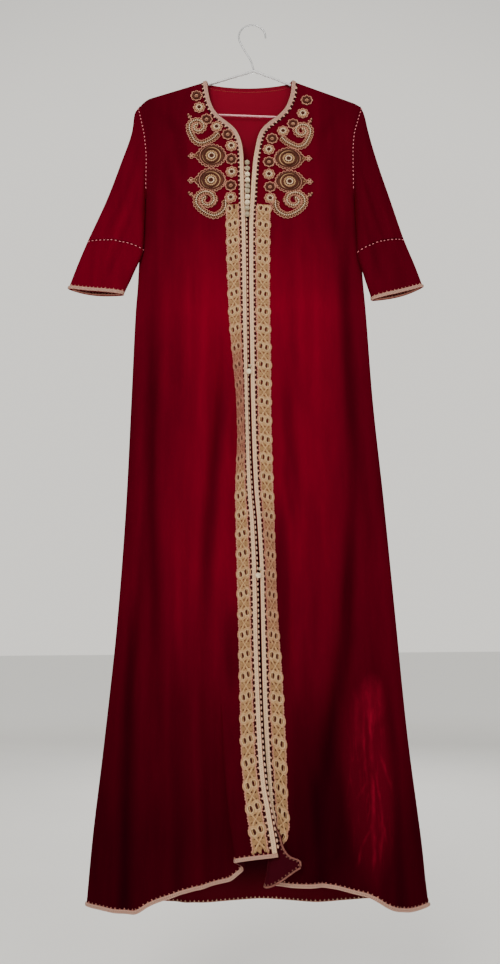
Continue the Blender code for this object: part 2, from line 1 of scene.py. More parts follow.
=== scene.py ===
# Looks of a velvet kaftan that hangs flat on a coated wire hanger. Lengths are in metres.
# x runs across the garment, z up, and its front looks towards -y. "left" is the viewer's left.
# "down" is the cloth's own row, counted from the hook, and "across" starts at the front edge.
import math

import bpy
import numpy as np
from mathutils import Matrix, Vector


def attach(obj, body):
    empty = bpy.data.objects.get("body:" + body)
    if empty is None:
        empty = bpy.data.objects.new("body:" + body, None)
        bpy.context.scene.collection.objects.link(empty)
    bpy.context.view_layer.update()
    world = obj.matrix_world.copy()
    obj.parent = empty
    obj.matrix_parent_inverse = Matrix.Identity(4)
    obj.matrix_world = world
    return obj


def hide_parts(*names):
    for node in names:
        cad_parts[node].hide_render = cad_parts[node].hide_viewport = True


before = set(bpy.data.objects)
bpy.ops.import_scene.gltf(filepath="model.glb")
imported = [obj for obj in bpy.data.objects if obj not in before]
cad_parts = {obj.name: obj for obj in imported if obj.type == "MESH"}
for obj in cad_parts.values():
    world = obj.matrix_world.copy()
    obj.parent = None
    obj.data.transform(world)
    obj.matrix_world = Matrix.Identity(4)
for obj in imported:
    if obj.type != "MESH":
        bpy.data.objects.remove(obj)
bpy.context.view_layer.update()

print("frame loaded:", len(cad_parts), "nodes")
out = {"left": -1.0, "right": 1.0}


def placed(name, data):
    # a new object in the scene
    made = bpy.data.objects.new(name, data)
    bpy.context.scene.collection.objects.link(made)
    return made


# the camera
view = {
    "place": (-0.0106, -1.354, -1.0786),
    "pitchUp": 9.9,
    "roll": 0.479,
    "focalPixels": 835.0,
    "framePixels": (500, 964),
    "sensor": 24.0,
}  # turns are in degrees


def makeCamera():
    pitch, roll = math.radians(view["pitchUp"]), math.radians(view["roll"])
    ahead = Vector((0, math.cos(pitch), math.sin(pitch)))
    level, upright = Vector((1, 0, 0)), Vector((0, -math.sin(pitch), math.cos(pitch)))
    right = level * math.cos(roll) - upright * math.sin(roll)
    up = level * math.sin(roll) + upright * math.cos(roll)
    turn = Matrix((right, up, -ahead)).transposed().to_4x4()
    camera = placed("camera", bpy.data.cameras.new("camera"))
    camera.matrix_world = Matrix.Translation(view["place"]) @ turn
    camera.data.sensor_fit = "VERTICAL"
    camera.data.sensor_height = view["sensor"]
    camera.data.lens = view["focalPixels"] / view["framePixels"][1] * view["sensor"]
    bpy.context.scene.camera = camera
    print("camera set")


# sums on sockets, for the finishes
class Wire:
    # an output socket that can stand in a sum, and adds the Math nodes for it
    def __init__(self, tree, socket=None):
        self.tree, self.socket = tree, socket

    def node(self, kind, settings, values, output=0):
        made = self.tree.nodes.new(kind)
        for name, value in settings.items():
            if name == "stops":
                setStops(made.color_ramp.elements, value)
            else:
                setattr(made, name, value)
        for name, value in values.items():
            if isinstance(value, Wire):
                self.tree.links.new(value.socket, made.inputs[name])
            else:
                made.inputs[name].default_value = value
        return Wire(self.tree, made.outputs[output] if made.outputs else None)

    def sum(self, operation, *values):
        settings = {"operation": operation}
        return self.node("ShaderNodeMath", settings, dict(enumerate(values)))

    def __add__(self, other):
        return self.sum("ADD", self, other)

    def __radd__(self, other):
        return self.sum("ADD", other, self)

    def __sub__(self, other):
        return self.sum("SUBTRACT", self, other)

    def __rsub__(self, other):
        return self.sum("SUBTRACT", other, self)

    def __mul__(self, other):
        return self.sum("MULTIPLY", self, other)

    def __rmul__(self, other):
        return self.sum("MULTIPLY", other, self)

    def __truediv__(self, other):
        return self.sum("DIVIDE", self, other)

    def __pow__(self, other):
        return self.sum("POWER", self, other)

    def wave(self):
        # 0 to 1 and back as the value grows by 1
        return self.sum("SINE", self * math.tau) * 0.5 + 0.5

    def limit(self, low, high):
        values = {"Value": self, "From Min": low, "From Max": high}
        return self.node("ShaderNodeMapRange", {"clamp": True, "interpolation_type": "SMOOTHSTEP"}, values)

    def noise(self, scale, stretch=(1, 1, 1), detail=3.0, where="Object"):
        place = self.coordinates(where, stretch)
        values = {"Vector": place, "Scale": scale, "Detail": detail, "Roughness": 0.55}
        return self.node("ShaderNodeTexNoise", {}, values)

    def coordinates(self, where="Object", stretch=(1, 1, 1)):
        found = self.tree.nodes.new("ShaderNodeTexCoord")
        place = Wire(self.tree, found.outputs[where])
        return self.node("ShaderNodeMapping", {}, {"Vector": place, "Scale": stretch})

    def parts(self, where="Object"):
        split = self.node("ShaderNodeSeparateXYZ", {}, {"Vector": self.coordinates(where)})
        return [Wire(self.tree, socket) for socket in split.socket.node.outputs]

    def mix(self, share, first, second):
        # a blend of two colours
        settings = {"data_type": "RGBA"}
        mixed = self.node("ShaderNodeMix", settings, {}, 2)
        inputs = mixed.socket.node.inputs
        for place, value in ((0, share), (6, first), (7, second)):
            if isinstance(value, Wire):
                self.tree.links.new(value.socket, inputs[place])
            else:
                inputs[place].default_value = value
        return mixed


def setStops(elements, stops):
    while len(elements) > 1:
        elements.remove(elements[-1])
    elements[0].position, elements[0].color = stops[0]
    for position, colour in stops[1:]:
        elements.new(position).color = colour


def rgb(red, green, blue):
    return (red, green, blue, 1.0)


def newMaterial(name):
    made = bpy.data.materials.new(name)
    made.use_nodes = True
    made.node_tree.nodes.clear()
    return made, Wire(made.node_tree)


def finishMaterial(wire, colour, roughness, height=None, depth=0.001, strength=1.0, **steady):
    # steady values are the same all over, and sit on the shader's own sockets
    values = {"Base Color": colour, "Roughness": roughness}
    if height is not None:
        bump = {"Height": height, "Distance": depth, "Strength": strength}
        values["Normal"] = wire.node("ShaderNodeBump", {}, bump)
    for name, value in steady.items():
        values[name.replace("_", " ")] = value
    shader = wire.node("ShaderNodeBsdfPrincipled", {}, values)
    wire.node("ShaderNodeOutputMaterial", {}, {"Surface": shader})


# the garment's form
kaftan = {
    "wall": 0.0016,
    "gap": 0.0003,
    "neckTop": 0.114,
    "hem": 1.490,
    "armpit": 0.333,
    "neckPoint": {"left": -0.0808, "right": 0.0683},
    "shoulderSlope": {"left": 0.325, "right": 0.410},
    "shoulderStraight": {"left": 0.100, "right": 0.108},
    "tipRound": {"left": 26.0, "right": 13.0},
    "backNeckDrop": 0.008,
    "slopeEnds": 0.42,
    "seamHalf": 0.0012,
    "wrapRadius": 0.0046,
    "trimFar": 0.0375,
    "tiltDepth": 0.040,
    "tiltEnd": 0.090,
    "riseTop": 1.15,
    "creasesFrom": (0.030, 0.052),
    "backDip": 0.008,
}
lap = {"top": 1.10, "depth": 0.025}
pleat = {"top": 0.95, "start": 0.058, "length": 0.028, "takeUp": 0.036}
rollOver = {"top": 1.28, "full": 1.40, "depth": 0.018, "radius": 0.012}


def table(names, *rows):
    # columns by name; the first is the key that the others are read by
    columns = dict(zip(names.split(), np.array(rows, dtype=float).T))
    columns["key"] = columns[names.split()[0]]
    return columns


body = table(
    "down   left     right    front   side    back",
    (0.114, -0.2005, 0.1905, 0.0062, 0.0060, 0.0060),
    (0.150, -0.1955, 0.1835, 0.0080, 0.0080, 0.0075),
    (0.200, -0.1885, 0.1745, 0.0110, 0.0100, 0.0100),
    (0.250, -0.1853, 0.1722, 0.0130, 0.0100, 0.0115),
    (0.300, -0.1868, 0.1732, 0.0145, 0.0070, 0.0125),
    (0.333, -0.1885, 0.1752, 0.0155, 0.0012, 0.0135),
    (0.380, -0.1900, 0.1770, 0.0168, 0.0012, 0.0148),
    (0.420, -0.1935, 0.1800, 0.0180, 0.0012, 0.0160),
    (0.460, -0.1980, 0.1840, 0.0190, 0.0012, 0.0174),
    (0.500, -0.1994, 0.1856, 0.0199, 0.0012, 0.0186),
    (0.545, -0.2022, 0.1882, 0.0210, 0.0012, 0.0200),
    (0.700, -0.2071, 0.1948, 0.0240, 0.0012, 0.0240),
    (0.870, -0.2126, 0.2070, 0.0270, 0.0012, 0.0280),
    (1.065, -0.2237, 0.2195, 0.0310, 0.0012, 0.0320),
    (1.250, -0.2405, 0.2312, 0.0340, 0.0012, 0.0370),
    (1.400, -0.2560, 0.2450, 0.0370, 0.0012, 0.0410),
    (1.490, -0.2625, 0.2532, 0.0390, 0.0012, 0.0430),
)
frontEdge = table(
    "down   left     right",
    (0.114, -0.0808, 0.0683),
    (0.140, -0.0778, 0.0660),
    (0.155, -0.0748, 0.0622),
    (0.170, -0.0696, 0.0561),
    (0.185, -0.0598, 0.0442),
    (0.200, -0.0434, 0.0258),
    (0.210, -0.0330, 0.0160),
    (0.220, -0.0265, 0.0095),
    (0.235, -0.0208, 0.0046),
    (0.250, -0.0178, 0.0017),
    (0.272, -0.0162, -0.0020),
    (0.310, -0.0159, -0.0055),
    (0.345, -0.0152, -0.0078),
    (0.385, -0.0138, -0.0104),
    (0.500, -0.0129, -0.0110),
    (0.660, -0.0124, -0.0102),
    (0.790, -0.0105, -0.0081),
    (0.860, -0.0078, -0.0055),
    (0.910, -0.0040, -0.0015),
    (0.997, -0.0008, 0.0024),
    (1.100, 0.0002, 0.0034),
    (1.190, 0.0024, 0.0046),
    (1.290, 0.0054, 0.0074),
    (1.370, 0.0100, 0.0098),
    (1.405, 0.0145, 0.0087),
    (1.435, 0.0187, -0.0013),
    (1.460, 0.0222, -0.0324),
    (1.470, 0.0238, -0.0450),
    (1.480, 0.0250, -0.0680),
    (1.490, 0.0262, -0.0705),
)
# the share of its width that the trimmed strip shows, where it tilts back
tilt = table(
    "down   left  right",
    (0.114, 1.00, 1.00),
    (0.330, 0.98, 1.10),
    (0.440, 0.96, 1.04),
    (0.560, 0.88, 1.01),
    (0.640, 0.70, 1.01),
    (0.710, 0.56, 0.97),
    (0.760, 0.55, 0.95),
    (0.820, 0.66, 0.93),
    (0.880, 0.80, 0.88),
    (0.940, 0.88, 0.78),
    (1.010, 0.90, 0.75),
    (1.080, 0.87, 0.81),
    (1.160, 0.88, 0.92),
    (1.270, 0.93, 0.96),
    (1.370, 0.96, 0.88),
    (1.430, 1.03, 1.00),
    (1.490, 1.06, 1.00),
)
roll = table(
    "down   fold",
    (1.280, -0.070),
    (1.405, -0.004),
    (1.435, 0.012),
    (1.460, 0.033),
    (1.470, 0.043),
    (1.480, 0.063),
    (1.490, 0.065),
)
hemRise = {
    "left": table(
        "across lift",
        (0.000, 0.0825),
        (0.060, 0.0745),
        (0.090, 0.0530),
        (0.104, 0.0420),
        (0.126, 0.0360),
        (0.164, 0.0285),
        (0.197, 0.0190),
        (0.223, 0.0085),
        (0.248, -0.0030),
        (0.325, 0.0000),
    ),
    "right": table(
        "across lift",
        (0.000, 0.0650),
        (0.061, 0.0380),
        (0.083, 0.0390),
        (0.119, 0.0335),
        (0.176, 0.0280),
        (0.208, 0.0215),
        (0.235, 0.0150),
        (0.255, 0.0035),
        (0.275, -0.0045),
        (0.295, -0.0070),
        (0.325, -0.0040),
    ),
}
# the large soft folds: place across (0 to 1), half width, depth outwards, where each begins
folds = {
    "left": ((0.31, 0.09, -0.009, 0.60), (0.54, 0.09, 0.006, 0.80), (0.80, 0.09, 0.012, 0.48)),
    "right": ((0.27, 0.09, 0.006, 0.62), (0.55, 0.10, -0.012, 0.52), (0.83, 0.08, 0.014, 0.86)),
    "back": (
        (0.16, 0.055, 0.012, 0.50),
        (0.33, 0.060, -0.009, 0.66),
        (0.51, 0.070, 0.009, 0.44),
        (0.68, 0.060, -0.010, 0.72),
        (0.85, 0.055, 0.012, 0.56),
    ),
}
creaseForm = {
    "fade": 0.35,  # share of its length in which a crease fades in or out
    "runsOff": 1.46,  # one that ends below this runs off the hem
    "gain": 1.5,
    "banks": 0.35,
    "banksWide": 2.2,
    "deepest": 0.0065,
}
# creases: half width, depth outwards, then the line each follows as (x, down)
creases = {
    "left": (
        (0.011, -0.0050, (-0.173, 0.43), (-0.171, 0.875), (-0.161, 1.03), (-0.155, 1.33)),
        (0.010, 0.0030, (-0.194, 0.59), (-0.190, 0.875), (-0.210, 1.11), (-0.222, 1.30)),
        (0.013, -0.0065, (-0.194, 0.97), (-0.202, 1.17), (-0.201, 1.47)),
        (0.012, -0.0060, (-0.050, 0.58), (-0.060, 0.745), (-0.069, 0.844), (-0.079, 0.97), (-0.083, 1.16)),
        (0.010, 0.0028, (-0.150, 0.44), (-0.148, 0.78)),
        (0.009, 0.0022, (-0.112, 0.42), (-0.110, 0.74)),
        (0.009, 0.0024, (-0.080, 0.46), (-0.092, 0.80)),
        (0.008, 0.0022, (-0.128, 0.86), (-0.122, 1.20)),
        (0.010, -0.0026, (-0.132, 1.02), (-0.120, 1.47)),
        (0.009, 0.0028, (-0.098, 1.10), (-0.088, 1.47)),
        (0.010, -0.0016, (-0.157, 0.225), (-0.140, 0.36)),
        (0.012, -0.0022, (-0.172, 0.13), (-0.130, 0.21), (-0.118, 0.33)),
        (0.010, 0.0016, (-0.168, 0.27), (-0.160, 0.47)),
    ),
    "right": (
        (0.012, -0.0062, (0.156, 0.34), (0.154, 0.54), (0.158, 0.71), (0.163, 0.92)),
        (0.010, -0.0042, (0.048, 0.64), (0.054, 0.76), (0.071, 0.92)),
        (0.007, -0.0030, (0.046, 0.79), (0.057, 0.92)),
        (0.014, -0.0068, (0.148, 0.84), (0.143, 1.00), (0.138, 1.10), (0.112, 1.24),
         (0.096, 1.36), (0.088, 1.455)),
        (0.008, -0.0030, (0.162, 0.78), (0.150, 0.97), (0.134, 1.13)),
        (0.010, 0.0034, (0.057, 1.04), (0.059, 1.22)),
        (0.009, 0.0030, (0.165, 1.12), (0.174, 1.28), (0.176, 1.38), (0.172, 1.47)),
        (0.010, -0.0040, (0.200, 1.10), (0.208, 1.47)),
        (0.011, -0.0040, (0.080, 1.28), (0.092, 1.47)),
        (0.009, 0.0022, (0.105, 0.42), (0.100, 0.74)),
        (0.010, 0.0020, (0.076, 0.40), (0.080, 0.70)),
        (0.010, -0.0020, (0.130, 0.20), (0.138, 0.33), (0.140, 0.47)),
        (0.010, 0.0022, (0.186, 0.62), (0.190, 0.94)),
        (0.011, -0.0018, (0.155, 0.13), (0.118, 0.22), (0.108, 0.33)),
    ),
    "back": (
        (0.012, -0.0050, (-0.150, 0.42), (-0.156, 0.80), (-0.150, 1.10)),
        (0.010, 0.0030, (-0.118, 0.36), (-0.112, 0.70)),
        (0.011, -0.0045, (-0.060, 0.52), (-0.068, 0.90), (-0.080, 1.20)),
        (0.009, 0.0026, (-0.030, 0.30), (-0.024, 0.62)),
        (0.012, -0.0055, (0.028, 0.66), (0.040, 1.00), (0.034, 1.44)),
        (0.009, 0.0028, (0.070, 0.40), (0.076, 0.86)),
        (0.013, -0.0050, (0.124, 0.46), (0.118, 0.82), (0.130, 1.06)),
        (0.010, -0.0036, (0.160, 0.90), (0.176, 1.30)),
        (0.011, 0.0030, (-0.190, 0.98), (-0.206, 1.44)),
        (0.010, -0.0030, (-0.108, 1.12), (-0.116, 1.47)),
        (0.012, -0.0020, (-0.130, 0.14), (-0.070, 0.24), (-0.040, 0.36)),
        (0.012, -0.0020, (0.126, 0.15), (0.070, 0.26), (0.030, 0.40)),
    ),
}
# along is 0 at the armhole, 1 at the cuff seam and 2 at the cuff's hem
sleeve = {
    "left": table(
        "along  topX     topZ     underX   underZ   half    bow",
        (0.00, -0.2005, -0.1616, -0.1890, -0.3410, 0.0100, 0.008),
        (0.06, -0.2085, -0.1740, -0.1900, -0.3480, 0.0105, 0.008),
        (0.20, -0.2131, -0.2060, -0.1904, -0.3620, 0.0115, 0.008),
        (0.45, -0.2335, -0.2730, -0.1905, -0.3850, 0.0130, 0.007),
        (0.70, -0.2554, -0.3380, -0.1907, -0.4080, 0.0140, 0.006),
        (1.00, -0.2879, -0.4176, -0.1918, -0.4370, 0.0130, 0.005),
        (1.50, -0.3040, -0.4610, -0.2065, -0.4790, 0.0115, 0.001),
        (2.00, -0.3185, -0.5040, -0.2240, -0.5195, 0.0095, -0.002),
    ),
    "right": table(
        "along  topX     topZ     underX   underZ   half    bow",
        (0.00, 0.1905, -0.1672, 0.1757, -0.3400, 0.0100, 0.008),
        (0.06, 0.1962, -0.1810, 0.1768, -0.3470, 0.0105, 0.008),
        (0.20, 0.2028, -0.2110, 0.1775, -0.3640, 0.0115, 0.008),
        (0.45, 0.2189, -0.2770, 0.1776, -0.3900, 0.0130, 0.007),
        (0.70, 0.2364, -0.3390, 0.1775, -0.4180, 0.0140, 0.006),
        (1.00, 0.2590, -0.4190, 0.1776, -0.4460, 0.0130, 0.005),
        (1.50, 0.2765, -0.4690, 0.1872, -0.4880, 0.0115, 0.001),
        (2.00, 0.2880, -0.5060, 0.2000, -0.5330, 0.0095, -0.002),
    ),
}
limb = {
    "holeBlend": 0.35,
    "seamShift": 0.0017,
    "cuffLength": 0.0915,
    "forward": 0.0105,
    "forwardAlong": (0.05, 0.65),
    "forwardShare": (0.15, 1.0),
    "backCreases": 0.8,
}


def read(columns, name, at):
    # a smooth curve through the rows, with no overshoot
    key, value = columns["key"], columns[name]
    slope = np.diff(value) / np.diff(key)
    before, after = slope[:-1], slope[1:]
    same = before * after > 0
    middle = np.where(same, 2 * before * after / np.where(same, before + after, 1.0), 0.0)
    tangent = np.concatenate(([slope[0]], middle, [slope[-1]]))
    at = np.clip(at, key[0], key[-1])
    row = np.clip(np.searchsorted(key, at) - 1, 0, len(key) - 2)
    span = key[row + 1] - key[row]
    t = (at - key[row]) / span
    start = value[row] * (1 + 2 * t) * (1 - t) ** 2 + tangent[row] * span * t * (1 - t) ** 2
    end = value[row + 1] * t ** 2 * (3 - 2 * t) - tangent[row + 1] * span * t ** 2 * (1 - t)
    return start + end


def columnsOf(*values):
    # numbers and arrays put side by side, as columns of one array
    return np.stack(np.broadcast_arrays(*values), axis=-1)


def ramp(at, start, end):
    t = np.clip((at - start) / (end - start), 0.0, 1.0)
    return t * t * (3 - 2 * t)


def shoulderLine(side, x):
    past = np.maximum(out[side] * (x - kaftan["neckPoint"][side]), 0.0)
    rounding = np.maximum(past - kaftan["shoulderStraight"][side], 0.0)
    return kaftan["shoulderSlope"][side] * past + kaftan["tipRound"][side] * rounding ** 2


def slopeLeft(down):
    top, ends = kaftan["neckTop"], kaftan["slopeEnds"]
    return np.clip((ends - down) / (ends - top), 0.0, 1.0) ** 1.2


def acrossProfile(share):
    return (1 - np.clip(share, 0.0, 1.0) ** 3) ** 0.6


def foldDepth(panel, share, down):
    depth = 0.0
    for place, width, deep, begins in folds[panel]:
        depth = depth + deep * np.exp(-((share - place) / width) ** 2) * ramp(down, begins, kaftan["hem"])
    return depth


def creaseDepth(panel, x, down):
    # each crease fades in and out along its line
    depth = 0.0
    for width, deep, *line in creases[panel]:
        lineX, lineDown = np.array(line).T
        middle = np.interp(down, lineDown, lineX)
        first, last = lineDown[0], lineDown[-1]
        fade = (last - first) * creaseForm["fade"]
        strength = ramp(down, first, first + fade)
        if last < creaseForm["runsOff"]:
            strength = strength * (1 - ramp(down, last - fade, last))
        off = (x - middle) / width
        shape = np.exp(-off ** 2) - creaseForm["banks"] * np.exp(-(off / creaseForm["banksWide"]) ** 2)
        depth = depth + creaseForm["gain"] * deep * strength * shape
    return depth


def overHanger(depth, down):
    top, radius = kaftan["neckTop"], kaftan["wrapRadius"]
    fall = np.clip(down - top, 0.0, radius)
    wrap = kaftan["seamHalf"] + np.sqrt(2 * radius * fall - fall ** 2)
    return np.minimum(depth, wrap + 2.0 * (down - top - fall))


def reachAcross(side, across, down):
    return across - (1 - read(tilt, side, down)) * np.minimum(across, kaftan["trimFar"])


def acrossReach(side, reach, down):
    share, far = read(tilt, side, down), kaftan["trimFar"]
    return np.where(reach < share * far, reach / share, reach + (1 - share) * far)


def clothWidth(side, down):
    width = out[side] * (read(body, side, down) - read(frontEdge, side, down))
    width = acrossReach(side, width, down)
    if side == "left":
        return width + pleat["takeUp"] * ramp(down, pleat["top"], kaftan["hem"])
    fold = read(roll, "fold", down)
    return fold + np.sqrt((width - fold) ** 2 - rollOver["radius"] ** 2)


def frontPoint(side, across, down):
    # middle of a front's wall
    hem, far = kaftan["hem"], kaftan["trimFar"]
    edge = read(frontEdge, side, down)
    width = out[side] * (read(body, side, down) - edge)
    recess = ramp(across, 0.0, far) * (1 - ramp(across, far, kaftan["tiltEnd"]))
    forward = -kaftan["tiltDepth"] * np.maximum(1 - read(tilt, side, down), 0.0) * recess
    if side == "left":
        turn = ramp(across, pleat["start"], pleat["start"] + pleat["length"])
        reach = across - turn * pleat["takeUp"] * ramp(down, pleat["top"], hem)
        forward = forward + lap["depth"] * ramp(down, lap["top"], hem) * (1 - turn)
    else:
        past = across - read(roll, "fold", down)
        bend = np.hypot(past, rollOver["radius"])
        reach = across - past + bend
        leans = ramp(down, rollOver["top"], rollOver["full"]) * (1 - past / bend) / 2
        forward = forward + rollOver["depth"] * leans
    reach = reach - across + reachAcross(side, across, down)
    share = reach / width
    x = edge + out[side] * reach
    seam = read(body, "side", down)
    profile = acrossProfile(share)
    depth = seam + (read(body, "front", down) - seam + foldDepth(side, share, down)) * profile
    small = creaseDepth(side, x, down) * ramp(across, *kaftan["creasesFrom"]) * profile
    depth = overHanger(depth + small, down) + forward
    lift = read(hemRise[side], "lift", across) * ramp(down, kaftan["riseTop"], hem)
    z = lift - down - shoulderLine(side, x) * slopeLeft(down)
    return columnsOf(x, -depth, z)


def backPoint(share, down):
    left, right = read(body, "left", down), read(body, "right", down)
    x = left + share * (right - left)
    seam = read(body, "side", down)
    profile = acrossProfile(np.abs(2 * share - 1))
    depth = seam + (read(body, "back", down) - seam + foldDepth("back", share, down)) * profile
    depth = depth + creaseDepth("back", x, down) * profile
    neck = kaftan["neckPoint"]
    middle = (neck["left"] + neck["right"]) / 2
    half = neck["right"] - middle
    drop = np.maximum(1 - ((x - middle) / half) ** 2, 0.0) * kaftan["backNeckDrop"] * slopeLeft(down)
    depth = overHanger(depth, down + drop)
    shoulders = (shoulderLine("left", x) + shoulderLine("right", x)) * slopeLeft(down)
    dip = kaftan["backDip"] * profile * ramp(down, kaftan["riseTop"], kaftan["hem"])
    z = -down - drop - shoulders - dip
    return columnsOf(x, depth, z)


def limbHalf(side, along, share):
    # front half of a sleeve's own ring; share is 0 at its top and 1 at its underside
    size = {name: read(sleeve[side], name, along) for name in sleeve[side]}
    topX, topZ = size["topX"], size["topZ"]
    chordX, chordZ = size["underX"] - topX, size["underZ"] - topZ
    length = np.hypot(chordX, chordZ)
    bow = -out[side] * size["bow"] * np.sin(math.pi * share) / length
    x = topX + chordX * share - chordZ * bow
    z = topZ + chordZ * share + chordX * bow
    depth = size["half"] * np.maximum(np.sin(math.pi * share), 0.0) ** 0.55
    return columnsOf(x, -depth, z)


def limbPoint(side, turn, along):
    # turn runs 0 to 1 down the sleeve's front, then 1 to 2 back up behind it
    turn, along = np.broadcast_arrays(turn, along)
    share = np.where(turn > 1, 2 - turn, turn)
    down = kaftan["neckTop"] + share * (kaftan["armpit"] - kaftan["neckTop"])
    hole = frontPoint(side, clothWidth(side, down), down)
    hole[..., 0] += out[side] * limb["seamShift"]
    apart = hole - limbHalf(side, 0.0, share)
    point = limbHalf(side, along, share) + apart * (1 - ramp(along, 0.0, limb["holeBlend"]))[..., None]
    closed = np.sin(math.pi * share) < 1e-9
    soft = limbCreases(side, share, along) * np.where(turn > 1, limb["backCreases"], 1.0)
    point[..., 1] = np.where(closed, 0.0, point[..., 1] - soft)
    point[..., 1] *= np.where(turn > 1, -1.0, 1.0)
    # the underside hangs a little forward, over the body's side
    forward = ramp(along, *limb["forwardAlong"]) * ramp(share, *limb["forwardShare"])
    point[..., 1] -= limb["forward"] * forward
    return point


# shallow creases of the sleeves: place round (0 to 1), half width, depth, from and to along
sleeveCreases = {
    "left": (
        (0.30, 0.07, -0.0022, 0.15, 1.1),
        (0.62, 0.06, -0.0018, 0.35, 1.9),
        (0.48, 0.05, 0.0014, 0.50, 1.6),
    ),
    "right": (
        (0.42, 0.06, -0.0020, 0.20, 1.2),
        (0.70, 0.07, -0.0024, 0.30, 1.9),
        (0.22, 0.05, 0.0012, 0.50, 1.7),
    ),
}


def limbCreases(side, share, along):
    depth = 0.0
    for place, width, deep, first, last in sleeveCreases[side]:
        fade = (last - first) * creaseForm["fade"]
        strength = ramp(along, first, first + fade) * (1 - ramp(along, last - fade, last))
        depth = depth + deep * strength * np.exp(-((share - place) / width) ** 2)
    return depth


# turning points into pieces
def freeSelection():
    bpy.ops.object.select_all(action="DESELECT")


def finishes(names):
    return [finish[name] for name in names.split()]


def keep(piece, slot, *nodes):
    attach(piece, "root")
    if nodes:
        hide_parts(*nodes)
    return piece


def clothFrom(name, grid, bent, materials, flip=False, ring=False):
    # a grid primitive whose points are moved onto the cloth, then given its thickness;
    # bent is below 0 in a crease and above 0 on a ridge, for painted shade in the creases and painted light
    # on the ridges
    rows, columns = grid.shape[:2]
    freeSelection()
    bpy.ops.mesh.primitive_grid_add(x_subdivisions=columns - 1, y_subdivisions=rows - 1, size=2)
    piece = bpy.context.object
    piece.name = piece.data.name = name
    places = np.empty(len(piece.data.vertices) * 3)
    piece.data.vertices.foreach_get("co", places)
    places = places.reshape(-1, 3)
    column = np.rint((places[:, 0] + 1) / 2 * (columns - 1)).astype(int)
    row = np.rint((places[:, 1] + 1) / 2 * (rows - 1)).astype(int)
    piece.data.vertices.foreach_set("co", grid[row, column].ravel())
    layer = piece.data.attributes.new("bent", "FLOAT", "POINT")
    layer.data.foreach_set("value", np.clip(bent, -1, 1)[row, column].astype(np.float32))
    bpy.ops.object.mode_set(mode="EDIT")
    bpy.ops.mesh.select_all(action="SELECT")
    if flip:
        bpy.ops.mesh.flip_normals()
    if ring:
        bpy.ops.mesh.remove_doubles(threshold=1e-6)
    bpy.ops.object.mode_set(mode="OBJECT")
    for each in materials:
        piece.data.materials.append(each)
    solidify = piece.modifiers.new("wall", "SOLIDIFY")
    solidify.thickness = kaftan["wall"]
    solidify.offset = 0.0
    solidify.use_even_offset = True
    solidify.use_quality_normals = True
    solidify.material_offset = len(materials) - 1
    bpy.ops.object.modifier_apply(modifier="wall")
    piece.data.shade_smooth()
    return piece


def normalOf(point, a, b):
    step = 2e-4
    alongA = point(a + step, b) - point(a - step, b)
    alongB = point(a, b + step) - point(a, b - step)
    normal = np.cross(alongA, alongB)
    return normal / (np.linalg.norm(normal, axis=-1, keepdims=True) + 1e-12)


class Carrier:
    # a part of the cloth that flat work is laid on. point gives the middle of its wall, middle is
    # a place on it, and faces is 1 or -1 for the way its outer side looks there along axis
    def __init__(self, point, middle, faces, lift=0.0, axis=1):
        self.point = point
        self.turn = math.copysign(1.0, float(normalOf(point, *np.array(middle))[axis] * faces))
        self.lift = kaftan["wall"] / 2 + kaftan["gap"] + lift

    def spot(self, along, across):
        return along, across

    def lay(self, flat):
        a, b = self.spot(flat[:, 0], flat[:, 1])
        raised = (flat[:, 2] + self.lift) * self.turn
        return self.point(a, b) + normalOf(self.point, a, b) * raised[:, None]


class Edge(Carrier):
    # a strip beside an edge: along it by true length, and square away from it
    samples = 1600

    def __init__(self, point, start, end, faces, lift=0.0, bend=None, middle=None):
        super().__init__(point, (middle or (start + end) / 2, 0.004), faces, lift)
        self.t = np.linspace(start, end, self.samples)
        line = point(self.t, 0 * self.t)
        pace = np.linalg.norm(np.diff(line, axis=0), axis=1)
        self.lengths = np.concatenate(([0.0], np.cumsum(pace)))
        self.length = self.lengths[-1]
        step = 1e-4
        along = point(self.t + step, 0 * self.t) - point(self.t - step, 0 * self.t)
        away = point(self.t, 0 * self.t + 2 * step) - point(self.t, 0 * self.t)
        slant = (along * away).sum(axis=1) / (along * along).sum(axis=1)
        square = np.linalg.norm(away - along * slant[:, None], axis=1) / (2 * step)
        self.moveT, self.moveQ = -slant / square, 1 / square
        self.bend = bend

    def at(self, t):
        # how far along the strip a place t is
        return np.interp(t, self.t, self.lengths)

    def spot(self, along, across):
        start = np.interp(along, self.lengths, self.t)
        t = start + across * np.interp(along, self.lengths, self.moveT)
        t = np.clip(t, self.t.min(), self.t.max())
        q = across * np.interp(along, self.lengths, self.moveQ)
        return self.bend(start, t, across) if self.bend else (t, q)


